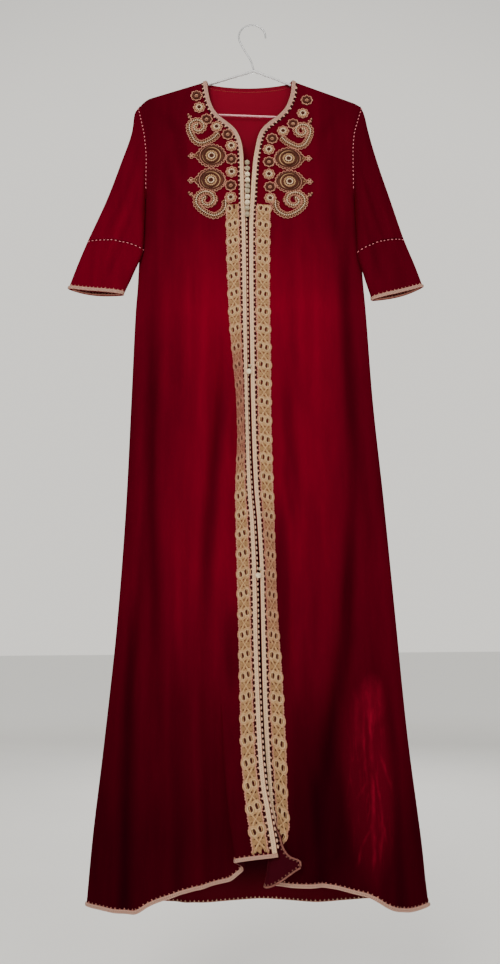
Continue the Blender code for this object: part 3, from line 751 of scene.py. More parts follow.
class Bundle:
    # flat work: points as (along, across, height), laid on the cloth when it is finished
    def __init__(self):
        self.points, self.faces, self.slots, self.count = [], [], [], 0

    def add(self, points, faces, slot=0):
        self.points.append(np.asarray(points, dtype=float))
        self.faces.append(np.asarray(faces) + self.count)
        self.slots.append(np.full(len(faces), slot))
        self.count += len(points)

    def cord(self, path, radius, slot=0, sides=5, closed=False, squash=1.0, lift=0.0):
        # a round cord along a flat path, its underside in the cloth's nap
        path = np.asarray(path, dtype=float)
        count = len(path)
        radius = np.broadcast_to(np.asarray(radius, dtype=float), (count,))
        if path.shape[1] == 2:
            path = np.column_stack((path, radius * squash * 0.85 + lift))
        if closed:
            ahead = np.roll(path, -1, axis=0) - np.roll(path, 1, axis=0)
        else:
            ahead = np.gradient(path, axis=0)
        beside = np.column_stack((-ahead[:, 1], ahead[:, 0], 0 * ahead[:, 0]))
        beside /= np.linalg.norm(beside, axis=1, keepdims=True) + 1e-12
        angle = np.arange(sides) * math.tau / sides + math.pi / 2
        ring = beside[:, None, :] * np.cos(angle)[None, :, None]
        ring = ring + np.array((0, 0, squash)) * np.sin(angle)[None, :, None]
        points = (path[:, None, :] + ring * radius[:, None, None]).reshape(-1, 3)
        segments = count if closed else count - 1
        side = np.arange(sides)[None, :]
        here = np.arange(segments)[:, None] * sides + side
        turned = np.arange(segments)[:, None] * sides + (side + 1) % sides
        total = count * sides
        quads = np.stack((here, turned, (turned + sides) % total, (here + sides) % total), axis=-1)
        quads = quads.reshape(-1, 4)
        if not closed:
            points = np.concatenate((points, path[:1], path[-1:]))
            first = np.arange(sides)
            after = (first + 1) % sides
            start = np.stack((first, np.full(sides, total), after, after), axis=-1)
            last = total - sides
            end = np.stack((after + last, np.full(sides, total + 1), first + last, first + last), axis=-1)
            quads = np.concatenate((quads, start, end))
        self.add(points, quads, slot)

    def scatter(self, shape, places, slot=0):
        # copies of one small shape; a place is (along, across, height, turn, size)
        points, faces = shape
        places = np.asarray(places, dtype=float)
        cos, sin = np.cos(places[:, 3])[:, None], np.sin(places[:, 3])[:, None]
        size = places[:, 4][:, None]
        x, y = points[:, 0][None, :] * size, points[:, 1][None, :] * size
        along = places[:, 0][:, None] + x * cos - y * sin
        across = places[:, 1][:, None] + x * sin + y * cos
        height = places[:, 2][:, None] + points[:, 2][None, :] * size
        shift = np.arange(len(places))[:, None, None] * len(points)
        points = np.stack((along, across, height), axis=-1).reshape(-1, 3)
        self.add(points, (faces[None] + shift).reshape(-1, 4), slot)

    def sheet(self, a, b, distance, thick, slot=0, height=0.0):
        # a thin sheet where distance is below 0, its outline drawn onto distance = 0
        gridA, gridB = np.meshgrid(a, b, indexing="ij")
        middleA = (gridA[1:, 1:] + gridA[:-1, :-1]) / 2
        middleB = (gridB[1:, 1:] + gridB[:-1, :-1]) / 2
        kept = distance(middleA, middleB) < 0
        padded = np.pad(kept, 1)
        around = padded[:-1, :-1] + 0 + padded[1:, :-1] + padded[:-1, 1:] + padded[1:, 1:]
        rim = (around > 0) & (around < 4)
        step, reach = 2e-5, (a[1] - a[0]) * 0.6
        for _ in range(2):
            value = distance(gridA, gridB)
            slopeA = (distance(gridA + step, gridB) - distance(gridA - step, gridB)) / (2 * step)
            slopeB = (distance(gridA, gridB + step) - distance(gridA, gridB - step)) / (2 * step)
            steep = np.maximum(slopeA ** 2 + slopeB ** 2, 0.2)
            gridA = gridA - np.where(rim, np.clip(value * slopeA / steep, -reach, reach), 0)
            gridB = gridB - np.where(rim, np.clip(value * slopeB / steep, -reach, reach), 0)
        used = around > 0
        index = np.full(gridA.shape, -1)
        index[used] = np.arange(used.sum())
        low = np.stack((gridA[used], gridB[used], np.full(used.sum(), height)), axis=-1)
        high = low + np.array((0, 0, thick))
        total = used.sum()
        corner = [index[:-1, :-1], index[1:, :-1], index[1:, 1:], index[:-1, 1:]]
        top = np.stack([each[kept] for each in corner], axis=-1)
        faces = [top + total, top[:, ::-1]]
        missing = [padded[1:-1, :-2], padded[2:, 1:-1], padded[1:-1, 2:], padded[:-2, 1:-1]]
        for number, neighbour in enumerate(missing):
            bare = kept & (neighbour == 0)
            first, second = corner[number][bare], corner[(number + 1) % 4][bare]
            faces.append(np.stack((first + total, first, second, second + total), axis=-1))
        self.add(np.concatenate((low, high)), np.concatenate(faces), slot)

    def piece(self, name, materials, carrier):
        flat = np.concatenate(self.points)
        quads = np.concatenate(self.faces).tolist()
        faces = [q[:3] if q[2] == q[3] else q for q in quads]
        if carrier.turn < 0:
            faces = [q[::-1] for q in faces]
        mesh = bpy.data.meshes.new(name)
        mesh.from_pydata(carrier.lay(flat).tolist(), [], faces)
        mesh.polygons.foreach_set("material_index", np.concatenate(self.slots).astype(np.int32))
        corners = np.empty(len(mesh.loops), dtype=np.int32)
        mesh.loops.foreach_get("vertex_index", corners)
        layer = mesh.uv_layers.new(name="flat")
        layer.data.foreach_set("uv", (flat[corners, :2] * 100).ravel())
        for each in materials:
            mesh.materials.append(each)
        mesh.shade_smooth()
        return placed(name, mesh)


# small shapes, modelled once
def wireAlong(name, points, radius, closed, roundness):
    # a round wire through points, made a mesh and left selected
    curve = bpy.data.curves.new(name, "CURVE")
    curve.dimensions = "3D"
    curve.bevel_depth = radius
    curve.bevel_resolution = roundness
    curve.use_fill_caps = not closed
    spline = curve.splines.new("POLY")
    spline.points.add(len(points) - 1)
    spline.use_cyclic_u = closed
    for target, place in zip(spline.points, points):
        target.co = (*place, 1.0)
    made = placed(name, curve)
    freeSelection()
    made.select_set(True)
    bpy.context.view_layer.objects.active = made
    bpy.ops.object.convert(target="MESH")
    return made


def shapeOf():
    # the active object's mesh as points and faces, then the object is gone
    made = bpy.context.object
    mesh = made.data
    points = np.array([tuple(v.co) for v in mesh.vertices])
    faces = np.array([(tuple(p.vertices) + (p.vertices[-1],))[:4] for p in mesh.polygons])
    bpy.data.objects.remove(made, do_unlink=True)
    bpy.data.meshes.remove(mesh)
    return points, faces


def stitchShape(length, width, high):
    # a plump thread lying along x
    freeSelection()
    bpy.ops.mesh.primitive_uv_sphere_add(segments=6, ring_count=4, radius=0.5, rotation=(0, math.pi / 2, 0))
    bpy.ops.object.transform_apply(location=False, rotation=True, scale=False)
    bpy.ops.object.mode_set(mode="EDIT")
    bpy.ops.mesh.select_all(action="SELECT")
    bpy.ops.transform.resize(value=(length, width, high))
    bpy.ops.transform.translate(value=(0, 0, high * 0.4))
    bpy.ops.object.mode_set(mode="OBJECT")
    return shapeOf()


def toothShape(width, length, high):
    # a small pointed loop of thread, its foot on x and its tip towards +y
    freeSelection()
    lying = (-math.pi / 2, 0, 0)
    bpy.ops.mesh.primitive_cone_add(vertices=6, radius1=0.5, radius2=0.12, depth=1.0, rotation=lying)
    bpy.ops.object.transform_apply(location=False, rotation=True, scale=False)
    bpy.ops.object.mode_set(mode="EDIT")
    bpy.ops.mesh.select_all(action="SELECT")
    bpy.ops.mesh.quads_convert_to_tris()
    bpy.ops.transform.resize(value=(width, length, high))
    bpy.ops.transform.translate(value=(0, length / 2, high * 0.45))
    bpy.ops.object.mode_set(mode="OBJECT")
    return shapeOf()


def beadShape():
    freeSelection()
    bpy.ops.mesh.primitive_uv_sphere_add(segments=6, ring_count=4, radius=0.5)
    bpy.ops.object.mode_set(mode="EDIT")
    bpy.ops.mesh.select_all(action="SELECT")
    bpy.ops.transform.translate(value=(0, 0, 0.4))
    bpy.ops.object.mode_set(mode="OBJECT")
    return shapeOf()


# the velvet's pile
velvetLook = {
    "full": rgb(0.150, 0.0009, 0.0106),
    # the brushed pile's lighter colour, partly painted highlight
    "brushedLitColour": rgb(0.310, 0.0090, 0.0240),
    # painted light and shade by height: how much of the full colour shows at each level, from the hem (0)
    # to the neck (1)
    "body": ((0.03, 0.23), (0.08, 0.22), (0.21, 0.36), (0.37, 0.69), (0.47, 0.74), (0.56, 0.77),
             (0.68, 0.88), (0.74, 0.70), (0.79, 0.56), (0.84, 0.54), (0.93, 0.46), (0.98, 0.43)),
    # the sleeves' painted light and shade by height
    "sleeves": ((0.60, 0.66), (0.80, 0.62), (0.97, 0.44)),
    # how much painted shade darkens creases and painted light lifts ridges
    "creases": 0.46,
    # soft patches of painted shade (change below 0) and painted light (change above 0) on the front: x, z,
    # half width, half height, change
    "shadeAndLightPatches": (
        (0.036, -1.01, 0.020, 0.17, -0.42),
        (0.088, -1.40, 0.062, 0.26, -0.46),
        (0.089, -0.98, 0.020, 0.16, -0.18),
        (0.208, -1.26, 0.036, 0.22, 0.34),
        (0.196, -1.02, 0.024, 0.16, 0.22),
        (-0.226, -0.99, 0.024, 0.12, 0.24),
        (-0.095, -0.76, 0.090, 0.26, -0.09),
        (-0.040, -1.11, 0.018, 0.08, -0.30),
    ),
    # the brushed patch, lighter with painted highlight, and the painted highlight at its top: x, z, half
    # width, half height
    "brushedHighlight": ((0.168, -1.305, 0.044, 0.160), (0.176, -1.188, 0.024, 0.040)),
    # the brushed streaks, lighter with painted highlight: (x, z) at the top, (x, z) at the foot, half
    # width, strength
    "streaks": (
        ((0.169, -1.175), (0.172, -1.300), 0.0026, 0.55),
        ((0.171, -1.290), (0.169, -1.440), 0.0024, 0.60),
        ((0.151, -1.168), (0.153, -1.265), 0.0060, 0.30),
        ((0.181, -1.262), (0.202, -1.325), 0.0020, 0.50),
        ((0.169, -1.300), (0.141, -1.345), 0.0020, 0.35),
        ((0.173, -1.368), (0.148, -1.410), 0.0020, 0.45),
        ((0.151, -1.398), (0.143, -1.438), 0.0018, 0.50),
        ((0.176, -1.285), (0.189, -1.405), 0.0018, 0.45),
        ((0.160, -1.195), (0.164, -1.330), 0.0016, 0.40),
        ((0.186, -1.340), (0.178, -1.430), 0.0018, 0.40),
    ),
}


def brushedHighlightStreaks(wire, x, z):
    # each streak strays a little from its line and fades at both ends
    stray = (wire.noise(26.0, (1.0, 1.0, 0.8), 3.0) - 0.5) * 0.012
    patchy = wire.noise(75.0, (1.4, 1.0, 0.45), 4.0).limit(0.40, 0.64)
    veins = wire.noise(27.0, (3.0, 1.0, 0.30), 3.0) - 0.5
    fine = veins.sum("ABSOLUTE", veins).limit(0.040, 0.0)
    total = 0.0
    for (topX, topZ), (footX, footZ), width, strength in velvetLook["streaks"]:
        slant = (footX - topX) / (footZ - topZ)
        beside = x - stray - topX - (z - topZ) * slant
        line = beside.sum("ABSOLUTE", beside).limit(width * 1.9, 0.0)
        total = line * z.limit(topZ, topZ - 0.030) * z.limit(footZ, footZ + 0.030) * strength + total
    # the brushed patch, and the painted highlight at its top
    zone, top = (
        (((x - midX) / wide) ** 2.0 + ((z - midZ) / high) ** 2.0).limit(1.1, 0.15)
        for midX, midZ, wide, high in velvetLook["brushedHighlight"]
    )
    soft = zone * (fine * patchy * 0.10 + 0.10) + top * (0.08 + patchy * 0.08)
    return total * (0.18 + patchy * 0.26) + soft


# soft patches of painted shade and painted light on the front
def paintedShadeAndLight(x, y, z):
    total = 0.0
    for midX, midZ, wide, high, change in velvetLook["shadeAndLightPatches"]:
        far = ((x - midX) / wide) ** 2.0 + ((z - midZ) / high) ** 2.0
        total = far.limit(1.0, 0.0) * change + total
    return total * (0 - y).limit(-0.002, 0.006)


def velvetFinish(name, paintedLevels):
    # deep red pile: painted light fullest at the middle, painted shade towards the shoulders, the hem and
    # the sides and in creases, and brushed up low on the right with painted highlights
    made, wire = newMaterial(name)
    x, y, z = wire.parts()
    broad = wire.noise(9.0, (1.0, 1.0, 0.35), 3.0)
    nap = wire.noise(70.0, (1.0, 1.0, 0.22), 4.0)
    brushLines = wire.noise(58.0, (1.0, 1.0, 0.07), 3.0)
    pile = wire.noise(900.0, (1.0, 1.0, 0.5), 2.0)
    high = (z + 1.5) / 1.4
    stops = [(place, (level, level, level, 1.0)) for place, level in paintedLevels]
    level = wire.node("ShaderNodeValToRGB", {"stops": stops}, {"Fac": high})
    off = x + 0.003
    # painted shade: the body darker towards its sides, most at mid height, and the right sleeve darker than
    # the left
    if name == "velvet":
        sidesShadedMost = high.limit(0.15, 0.42) * high.limit(0.86, 0.62)
        aside = 1 - (0.21 + sidesShadedMost * 0.27) * off.sum("ABSOLUTE", off).limit(0.085, 0.185)
    else:
        aside = 1 - 0.34 * x.limit(-0.1, 0.1)
    bent = wire.node("ShaderNodeAttribute", {"attribute_name": "bent"}, {}, 2)
    mottled = 0.44 + broad * 0.42 + nap * 0.34 + brushLines * 0.40
    # painted light and shade: by height, towards the sides, and darker in creases, lighter on ridges
    shade = level * aside * mottled * (1 + bent * velvetLook["creases"])
    if name == "velvet":
        shade = shade * (1 + paintedShadeAndLight(x, y, z))
    base = wire.mix(shade, rgb(0.002, 0.0, 0.0010), velvetLook["full"])
    colour = base
    if name == "velvet":
        brushedHighlight = brushedHighlightStreaks(wire, x, z) * (0 - y).limit(-0.002, 0.006)
        colour = wire.mix(brushedHighlight, base, velvetLook["brushedLitColour"])
    finishMaterial(
        wire, colour, 0.80 + pile * 0.12, pile * 0.5 + nap * 0.5, 0.0006, 0.35,
        Sheen_Weight=0.20, Sheen_Roughness=0.34, Sheen_Tint=rgb(0.50, 0.006, 0.025), Specular_IOR_Level=0.0,
    )
    return made


def reverseFinish():
    # the velvet's flat woven back
    made, wire = newMaterial("velvet_reverse")
    high = wire.parts()[2].limit(-1.1, -0.25)
    weave = wire.noise(1200.0, (1, 1, 0.4), 2.0)
    broad = wire.noise(14.0)
    # painted light and shade: lighter high up, darker lower down
    upper = wire.mix(broad * 0.5 + weave * 0.3, rgb(0.110, 0.0024, 0.008), rgb(0.19, 0.0050, 0.016))
    lower = wire.mix(broad * 0.5 + weave * 0.3, rgb(0.022, 0.0008, 0.003), rgb(0.048, 0.0014, 0.006))
    # painted light just above the hem
    hemLight = wire.parts()[2].limit(-1.440, -1.485)
    colour = wire.mix(hemLight * 0.7, wire.mix(high, lower, upper), rgb(0.085, 0.0014, 0.007))
    finishMaterial(wire, colour, 0.82 + weave * 0.1, weave, 0.0004, 0.4, Sheen_Weight=0.10,
                   Sheen_Roughness=0.5, Sheen_Tint=rgb(0.7, 0.05, 0.08), Specular_IOR_Level=0.03)
    return made


def braidFinish(name, pinkAbove, near, share):
    # two rows of slanted silk stitches that meet in the middle; one unit of its map is a centimetre
    made, wire = newMaterial(name)
    along, across, _ = wire.parts("UV")
    wide = braid["width"] * share
    off = across - (near + wide / 2) * 100
    half = off.sum("ABSOLUTE", off)
    chevron = ((along + half * 0.85) * 3.6).wave()
    groove = (half / 0.055).limit(0.0, 1.0)
    edge = (half / (wide * 50)).limit(0.72, 1.0)
    uneven = wire.noise(2.2, (1, 1, 1), 3.0, "UV")
    stitched = chevron * 0.75 + uneven * 0.3 - 0.1
    silk = wire.mix(stitched, rgb(0.40, 0.215, 0.110), rgb(0.95, 0.690, 0.420))
    pink = wire.mix(stitched, rgb(0.24, 0.100, 0.070), rgb(0.56, 0.345, 0.250))
    silk = wire.mix(wire.parts()[2].limit(pinkAbove - 0.06, pinkAbove + 0.06), silk, pink)
    sides = wire.mix(edge * 0.65, silk, rgb(0.52, 0.225, 0.165))
    colour = wire.mix((1 - groove) * 0.6, sides, rgb(0.30, 0.15, 0.085))
    finishMaterial(wire, colour, 0.58 - chevron * 0.16, chevron * 0.7 + groove * 0.5, 0.0009, 0.8,
                   Sheen_Weight=0.15, Sheen_Roughness=0.4, Specular_IOR_Level=0.4)
    return made


threads = {
    # light, dark, roughness, how fine its twist is (0 is a net)
    "lace_ground": (rgb(0.50, 0.285, 0.125), rgb(0.13, 0.058, 0.022), 0.72, 0),
    "chest_net": (rgb(0.150, 0.052, 0.026), rgb(0.055, 0.010, 0.007), 0.80, 0),
    "lace_cord": (rgb(0.60, 0.370, 0.172), rgb(0.29, 0.150, 0.063), 0.55, 9.0),
    "lace_pink": (rgb(0.56, 0.270, 0.175), rgb(0.30, 0.105, 0.067), 0.62, 9.0),
    # dark thread of the chest lace, also used as painted shade inside the bands' eyes
    "lace_dark": (rgb(0.085, 0.022, 0.013), rgb(0.032, 0.008, 0.005), 0.70, 8.0),
    "lace_cream": (rgb(0.86, 0.66, 0.44), rgb(0.56, 0.36, 0.21), 0.45, 8.0),
    "tooth_thread": (rgb(0.66, 0.40, 0.27), rgb(0.38, 0.19, 0.12), 0.60, 7.0),
    # a near-black thread that stands in for the teeth's shadow on the pile
    "foot_thread": (rgb(0.036, 0.003, 0.005), rgb(0.016, 0.001, 0.002), 0.80, 7.0),
    "hem_thread": (rgb(0.42, 0.17, 0.125), rgb(0.23, 0.075, 0.055), 0.62, 7.0),
    "stitch_thread": (rgb(0.64, 0.190, 0.215), rgb(0.42, 0.095, 0.110), 0.50, 7.0),
    "turned_thread": (rgb(0.24, 0.095, 0.070), rgb(0.11, 0.032, 0.026), 0.65, 7.0),
    "lace_light": (rgb(0.70, 0.475, 0.255), rgb(0.38, 0.215, 0.100), 0.50, 9.0),
    "faint_thread": (rgb(0.42, 0.075, 0.060), rgb(0.22, 0.022, 0.022), 0.60, 7.0),
    "red_thread": (rgb(0.20, 0.006, 0.016), rgb(0.10, 0.003, 0.008), 0.60, 7.0),
    # the knots in painted light, and a painted-shade copy of the same thread
    "knot_painted_lit": (rgb(0.95, 0.80, 0.56), rgb(0.52, 0.38, 0.22), 0.32, 6.0),
    "knot_dim": (rgb(0.50, 0.42, 0.28), rgb(0.24, 0.18, 0.11), 0.38, 6.0),
}


def threadFinish(name):
    light, dark, roughness, twists = threads[name]
    made, wire = newMaterial(name)
    uneven = wire.noise(260.0, (1, 1, 1), 3.0)
    if twists:
        twist = wire.noise(twists * 60.0, (1, 1, 1.4), 2.0)
    else:
        # an open net: two sets of slanted threads
        along, across, _ = wire.parts("UV")
        net = ((along + across) * 4.3).wave() * ((along - across) * 4.3).wave()
        twist = net * 0.75 + wire.noise(5.0, (1, 1, 1), 2.0, "UV") * 0.35
    share = (twist * 0.6 + uneven * 0.55).limit(0.2, 0.85)
    colour = wire.mix(share, dark, light)
    if name in ("lace_ground", "lace_cord", "lace_pink", "lace_light"):
        # redder where the bands tilt back and the velvet shows through them, and darker there: painted
        # shade where they turn away from the light
        x, _, z = wire.parts()
        left = z.limit(-0.86, -0.78) * z.limit(-0.56, -0.66) * x.limit(-0.010, -0.016)
        right = z.limit(-1.14, -1.04) * z.limit(-0.86, -0.93) * x.limit(0.004, 0.010)
        reddenedAndShaded = wire.mix(share, rgb(0.085, 0.010, 0.009), rgb(0.42, 0.135, 0.100))
        colour = wire.mix((left + right * 0.6) * 0.72, colour, reddenedAndShaded)
    gloss = 0.08 + 0.4 * light[1]  # dark threads shine less
    finishMaterial(wire, colour, roughness, twist + uneven * 0.4, 0.0006, 0.7,
                   Sheen_Weight=0.2 * light[1], Specular_IOR_Level=gloss)
    return made


def hangerFinish():
    made, wire = newMaterial("coated_wire")
    level = wire.parts()[2]
    cloudy = wire.noise(60.0, (1, 1, 1), 4.0)
    scuffs = wire.noise(900.0, (1, 1, 1), 2.0)
    arms = wire.mix(cloudy, rgb(0.44, 0.44, 0.44), rgb(0.72, 0.71, 0.70))
    # the bar inside the garment is pink: painted reflected light from the velvet
    barReflection = wire.mix(cloudy, rgb(0.96, 0.36, 0.40), rgb(1.0, 0.48, 0.51))
    colour = wire.mix(level.limit(-0.150, -0.172), arms, barReflection)
    finishMaterial(wire, colour, 0.26 + scuffs * 0.2, scuffs, 0.0002, 0.3,
                   Coat_Weight=0.4, Coat_Roughness=0.2)
    return made


def hookFinish():
    made, wire = newMaterial("hook_wire")
    drawn = wire.noise(700.0, (1, 1, 0.1), 3.0)
    dull = wire.noise(90.0, (1, 1, 1), 3.0)
    colour = wire.mix(dull, rgb(0.40, 0.40, 0.41), rgb(0.64, 0.64, 0.63))
    finishMaterial(wire, colour, 0.30 + drawn * 0.22, drawn, 0.0002, 0.4, Metallic=0.75)
    return made


def groundFinish():
    made, wire = newMaterial("pale_floor")
    cloudy = wire.noise(3.0, (1, 1, 1), 4.0)
    colour = wire.mix(cloudy, rgb(0.86, 0.85, 0.82), rgb(0.92, 0.91, 0.88))
    # far off, the floor glows with painted light, as bright as the backdrop
    x, y, _ = wire.parts()
    far = (x * x + y * y).limit(1.0, 30.0)
    paintedGlow = wire.mix(far, rgb(0.0, 0.0, 0.0), rgb(0.17, 0.168, 0.160))
    finishMaterial(wire, colour, 0.8 + cloudy * 0.1, Emission_Color=paintedGlow, Emission_Strength=1.0)
    return made


# rows and columns of the velvet pieces
def spaced(*stretches):
    # rows from (start, end, count) stretches, each end shared with the next start
    parts = [np.linspace(start, end, count, endpoint=False) for start, end, count in stretches]
    return np.concatenate(parts + [[stretches[-1][1]]])


panelRows = spaced((kaftan["neckTop"], 0.1227, 9), (0.1227, 0.36, 54), (0.36, 1.15, 106),
                   (1.15, kaftan["hem"], 78))
panelColumns = {
    "left": spaced((0.0, kaftan["trimFar"], 12), (kaftan["trimFar"], 0.106, 32)),
    "right": spaced((0.0, kaftan["trimFar"], 14), (kaftan["trimFar"], 0.084, 18)),
}
limbTurns = spaced((0.0, 1.0, 44), (1.0, 2.0, 44))


def creaseShadeBy(panel, grid):
    # how far the creases push each point out or in, against a deep crease: the painted crease shade
    x, down = grid[..., 0], panelRows[:, None] + 0 * grid[..., 0]
    return creaseDepth(panel, x, down) / creaseForm["deepest"]


def frontGrid(side):
    down = panelRows[:, None]
    near = panelColumns[side][None, :]
    rest = clothWidth(side, down) - near[0, -1]
    share = np.sin(np.linspace(0, math.pi / 2, 54))[None, 1:]
    across = np.concatenate((near + 0 * down, near[0, -1] + rest * share), axis=1)
    return frontPoint(side, across, down)


def backGrid():
    half = np.sin(np.linspace(0, math.pi / 2, 58)) / 2
    share = np.concatenate((0.5 - half[::-1], 0.5 + half[1:]))
    return backPoint(share[None, :], panelRows[:, None])


def makeVelvet():
    pieces = {}
    velvet, sleeves, reverse = finishes("velvet velvet_sleeves velvet_reverse")
    for side in ("left", "right"):
        flip = side == "right"
        name = f"velvet_front_{side}"
        grid = frontGrid(side)
        pieces[f"front_{side}"] = clothFrom(name, grid, creaseShadeBy(side, grid), (velvet, reverse), flip)
        for part, along in (("sleeve", spaced((0.0, 0.9965, 46))), ("cuff", spaced((1.0035, 2.0, 18)))):
            grid = limbPoint(side, limbTurns[None, :], along[:, None])
            name = f"velvet_{part}_{side}"
            share = np.where(limbTurns > 1, 2 - limbTurns, limbTurns)[None, :]
            bent = limbCreases(side, share, along[:, None]) / creaseForm["deepest"]
            made = clothFrom(name, grid, bent, (sleeves, reverse), not flip, ring=True)
            pieces[f"{part}_{side}"] = made
    grid = backGrid()
    pieces["back"] = clothFrom("velvet_back", grid, creaseShadeBy("back", grid), (velvet, reverse))
    for node, piece in pieces.items():
        keep(piece, "velvet", node)
    print("velvet pieces:", len(pieces))


# braid, its teeth and the seams' stitches
braid = {
    "start": 0.0011,
    "hemStart": 0.0002,
    "width": 0.0068,
    "hemShare": 0.80,  # the hems' and cuffs' braid is narrower
    "step": 0.0022,
    "ends": 0.0002,
    "tuck": 0.0002,  # how far the teeth's feet lie under it
    "turnsOver": 1.365,  # below this the right front's edge shows its reverse
    "profile": (
        (0.0, 0.0), (0.0, 0.0011), (0.0009, 0.0018), (0.0024, 0.0020), (0.0034, 0.0015),
        (0.0044, 0.0020), (0.0059, 0.0018), (0.0068, 0.0011), (0.0068, 0.0),
    ),
}
tooth = {
    # how far apart, then width, length and height
    "front": (0.0085, (0.0044, 0.0036, 0.0013)),
    "hem": (0.0068, (0.0036, 0.0026, 0.0011)),
    "inside": (0.0068, (0.0030, 0.0024, 0.0010)),
}
braidEnd = braid["start"] + braid["width"]
hemBraidEnd = braid["hemStart"] + braid["width"] * braid["hemShare"]
stitch = {"pitch": 0.0071, "size": (0.0040, 0.0018, 0.0014), "armholeEnds": 0.91}
# how much a row's stitches or teeth vary, and how fast along it
uneven = {
    "teeth": (0.10, 700.0),
    "teethSize": (0.12, 1310.0),
    "loops": (0.12, 500.0),
    "stitches": (0.08, 900.0),
}
# the braid's binding: a cord and loops, how far in from the edge and how thick
binding = {
    "step": 0.003,
    "cordAt": 0.0017,
    "cord": 0.0015,
    "loopAt": 0.0044,
    "loop": 0.0026,
    "sunk": 0.0010,
}
# thread loops for the buttons: where they begin, how far apart, how far in, size
buttonLoop = {"from": 0.29, "pitch": 0.0082, "at": -0.0010, "size": (0.0058, 0.0030, 0.0022)}
# the knot above each low button, drawn in the knot's painted-shade colour
paintedShadeKnot = {"above": 0.0105, "at": 0.0002, "high": 0.0008, "size": 0.0060}


def braidStrip(bundle, start, end, near=braid["start"], share=1.0):
    # the profile swept along the edge, both ends closed
    count = max(2, int(round((end - start) / braid["step"])) + 1)
    along = np.linspace(start, end, count)
    profile = np.array(braid["profile"])
    size = len(profile)
    points = np.empty((count, size, 3))
    points[..., 0] = along[:, None]
    points[..., 1:] = profile[None] * (share, 1.0) + (near, 0.0)
    here = np.arange(count - 1)[:, None] * size + np.arange(size)[None, :]
    turned = np.arange(count - 1)[:, None] * size + (np.arange(size)[None, :] + 1) % size
    quads = np.stack((here, here + size, turned + size, turned), axis=-1).reshape(-1, 4)
    ends = []
    for first, way in ((0, 1), ((count - 1) * size, -1)):
        for low in range(1, size // 2 + 1):
            corners = (first + low - 1, first + low, first + size - 1 - low, first + size - low)
            corners = corners[:3] + (corners[3],) if corners[1] != corners[2] else corners
            ends.append(corners[::way])
    bundle.add(points.reshape(-1, 3), np.concatenate((quads, [closeCorners(c) for c in ends])))


def closeCorners(corners):
    # a doubled corner goes last
    kept = [c for number, c in enumerate(corners) if c != corners[number - 1]]
    return (kept + [kept[-1]])[:4]


def unevenly(kind, along):
    # a small change that comes and goes along a row
    most, pace = uneven[kind]
    return most * np.sin(along * pace)


def teethAlong(bundle, kind, start, end, across, slot):
    pitch, size = tooth[kind]
    shape = toothShape(*size)
    count = int((end - start) / pitch)
    along = start + (np.arange(count) + 0.5) * (end - start) / count
    turn, scale = unevenly("teeth", along), 1.0 + unevenly("teethSize", along)
    bundle.scatter(shape, columnsOf(along, across, 0.0, turn, scale), slot)


def bindBehind(bundle, start, end, slot):
    # a cord and small loops on the cloth's reverse, just inside the edge
    along = np.arange(start, end, binding["step"])
    behind = -(kaftan["wall"] + kaftan["gap"] * 2) - binding["sunk"]
    bundle.cord(columnsOf(along, binding["cordAt"], behind), binding["cord"], slot, squash=0.7)
    loops = columnsOf(along[::2], binding["loopAt"], behind, 0.0, binding["loop"])
    bundle.scatter(beadShape(), loops, slot)


def edgeSlope(side, down):
    # how fast a front's edge moves outwards
    step = 1e-3
    change = read(frontEdge, side, down + step) - read(frontEdge, side, down - step)
    return out[side] * change / (2 * step)


def frontEdgeOf(side):
    def point(down, across):
        return frontPoint(side, across, down)

    def bend(start, down, across):
        # true width along the curved neckline, and along the rows below it
        slope = edgeSlope(side, start)
        shift = out[side] * (read(frontEdge, side, start) - read(frontEdge, side, down))
        square = ramp(start, 0.40, 0.36)
        reach = across / np.sqrt(1 + slope ** 2) + shift
        return start + (down - start) * square, across + (reach - across) * square

    return Edge(point, kaftan["neckTop"], kaftan["hem"], -1, bend=bend)


def hemEdgeOf(side):
    def point(across, up):
        return frontPoint(side, across, kaftan["hem"] - up)

    lift = 0.0005 if side == "right" else 0.0
    return Edge(point, 0.0, float(clothWidth(side, np.array(kaftan["hem"]))) - 1e-4, -1, lift=lift)


def hemBraid(name, node, edge, ends, teethFrom, bound=None):
    # the narrower braid and its teeth; bound is where its binding shows on the reverse, and its thread
    work = Bundle()
    braidStrip(work, ends, edge.length - ends, braid["hemStart"], braid["hemShare"])
    if teethFrom:
        teethAlong(work, "hem", teethFrom, edge.length - teethFrom, hemBraidEnd - braid["tuck"], 1)
    if bound:
        bindBehind(work, *bound)
    materials = finishes("hem_braid hem_thread turned_thread")
    keep(work.piece(name, materials, edge), "braid", node)


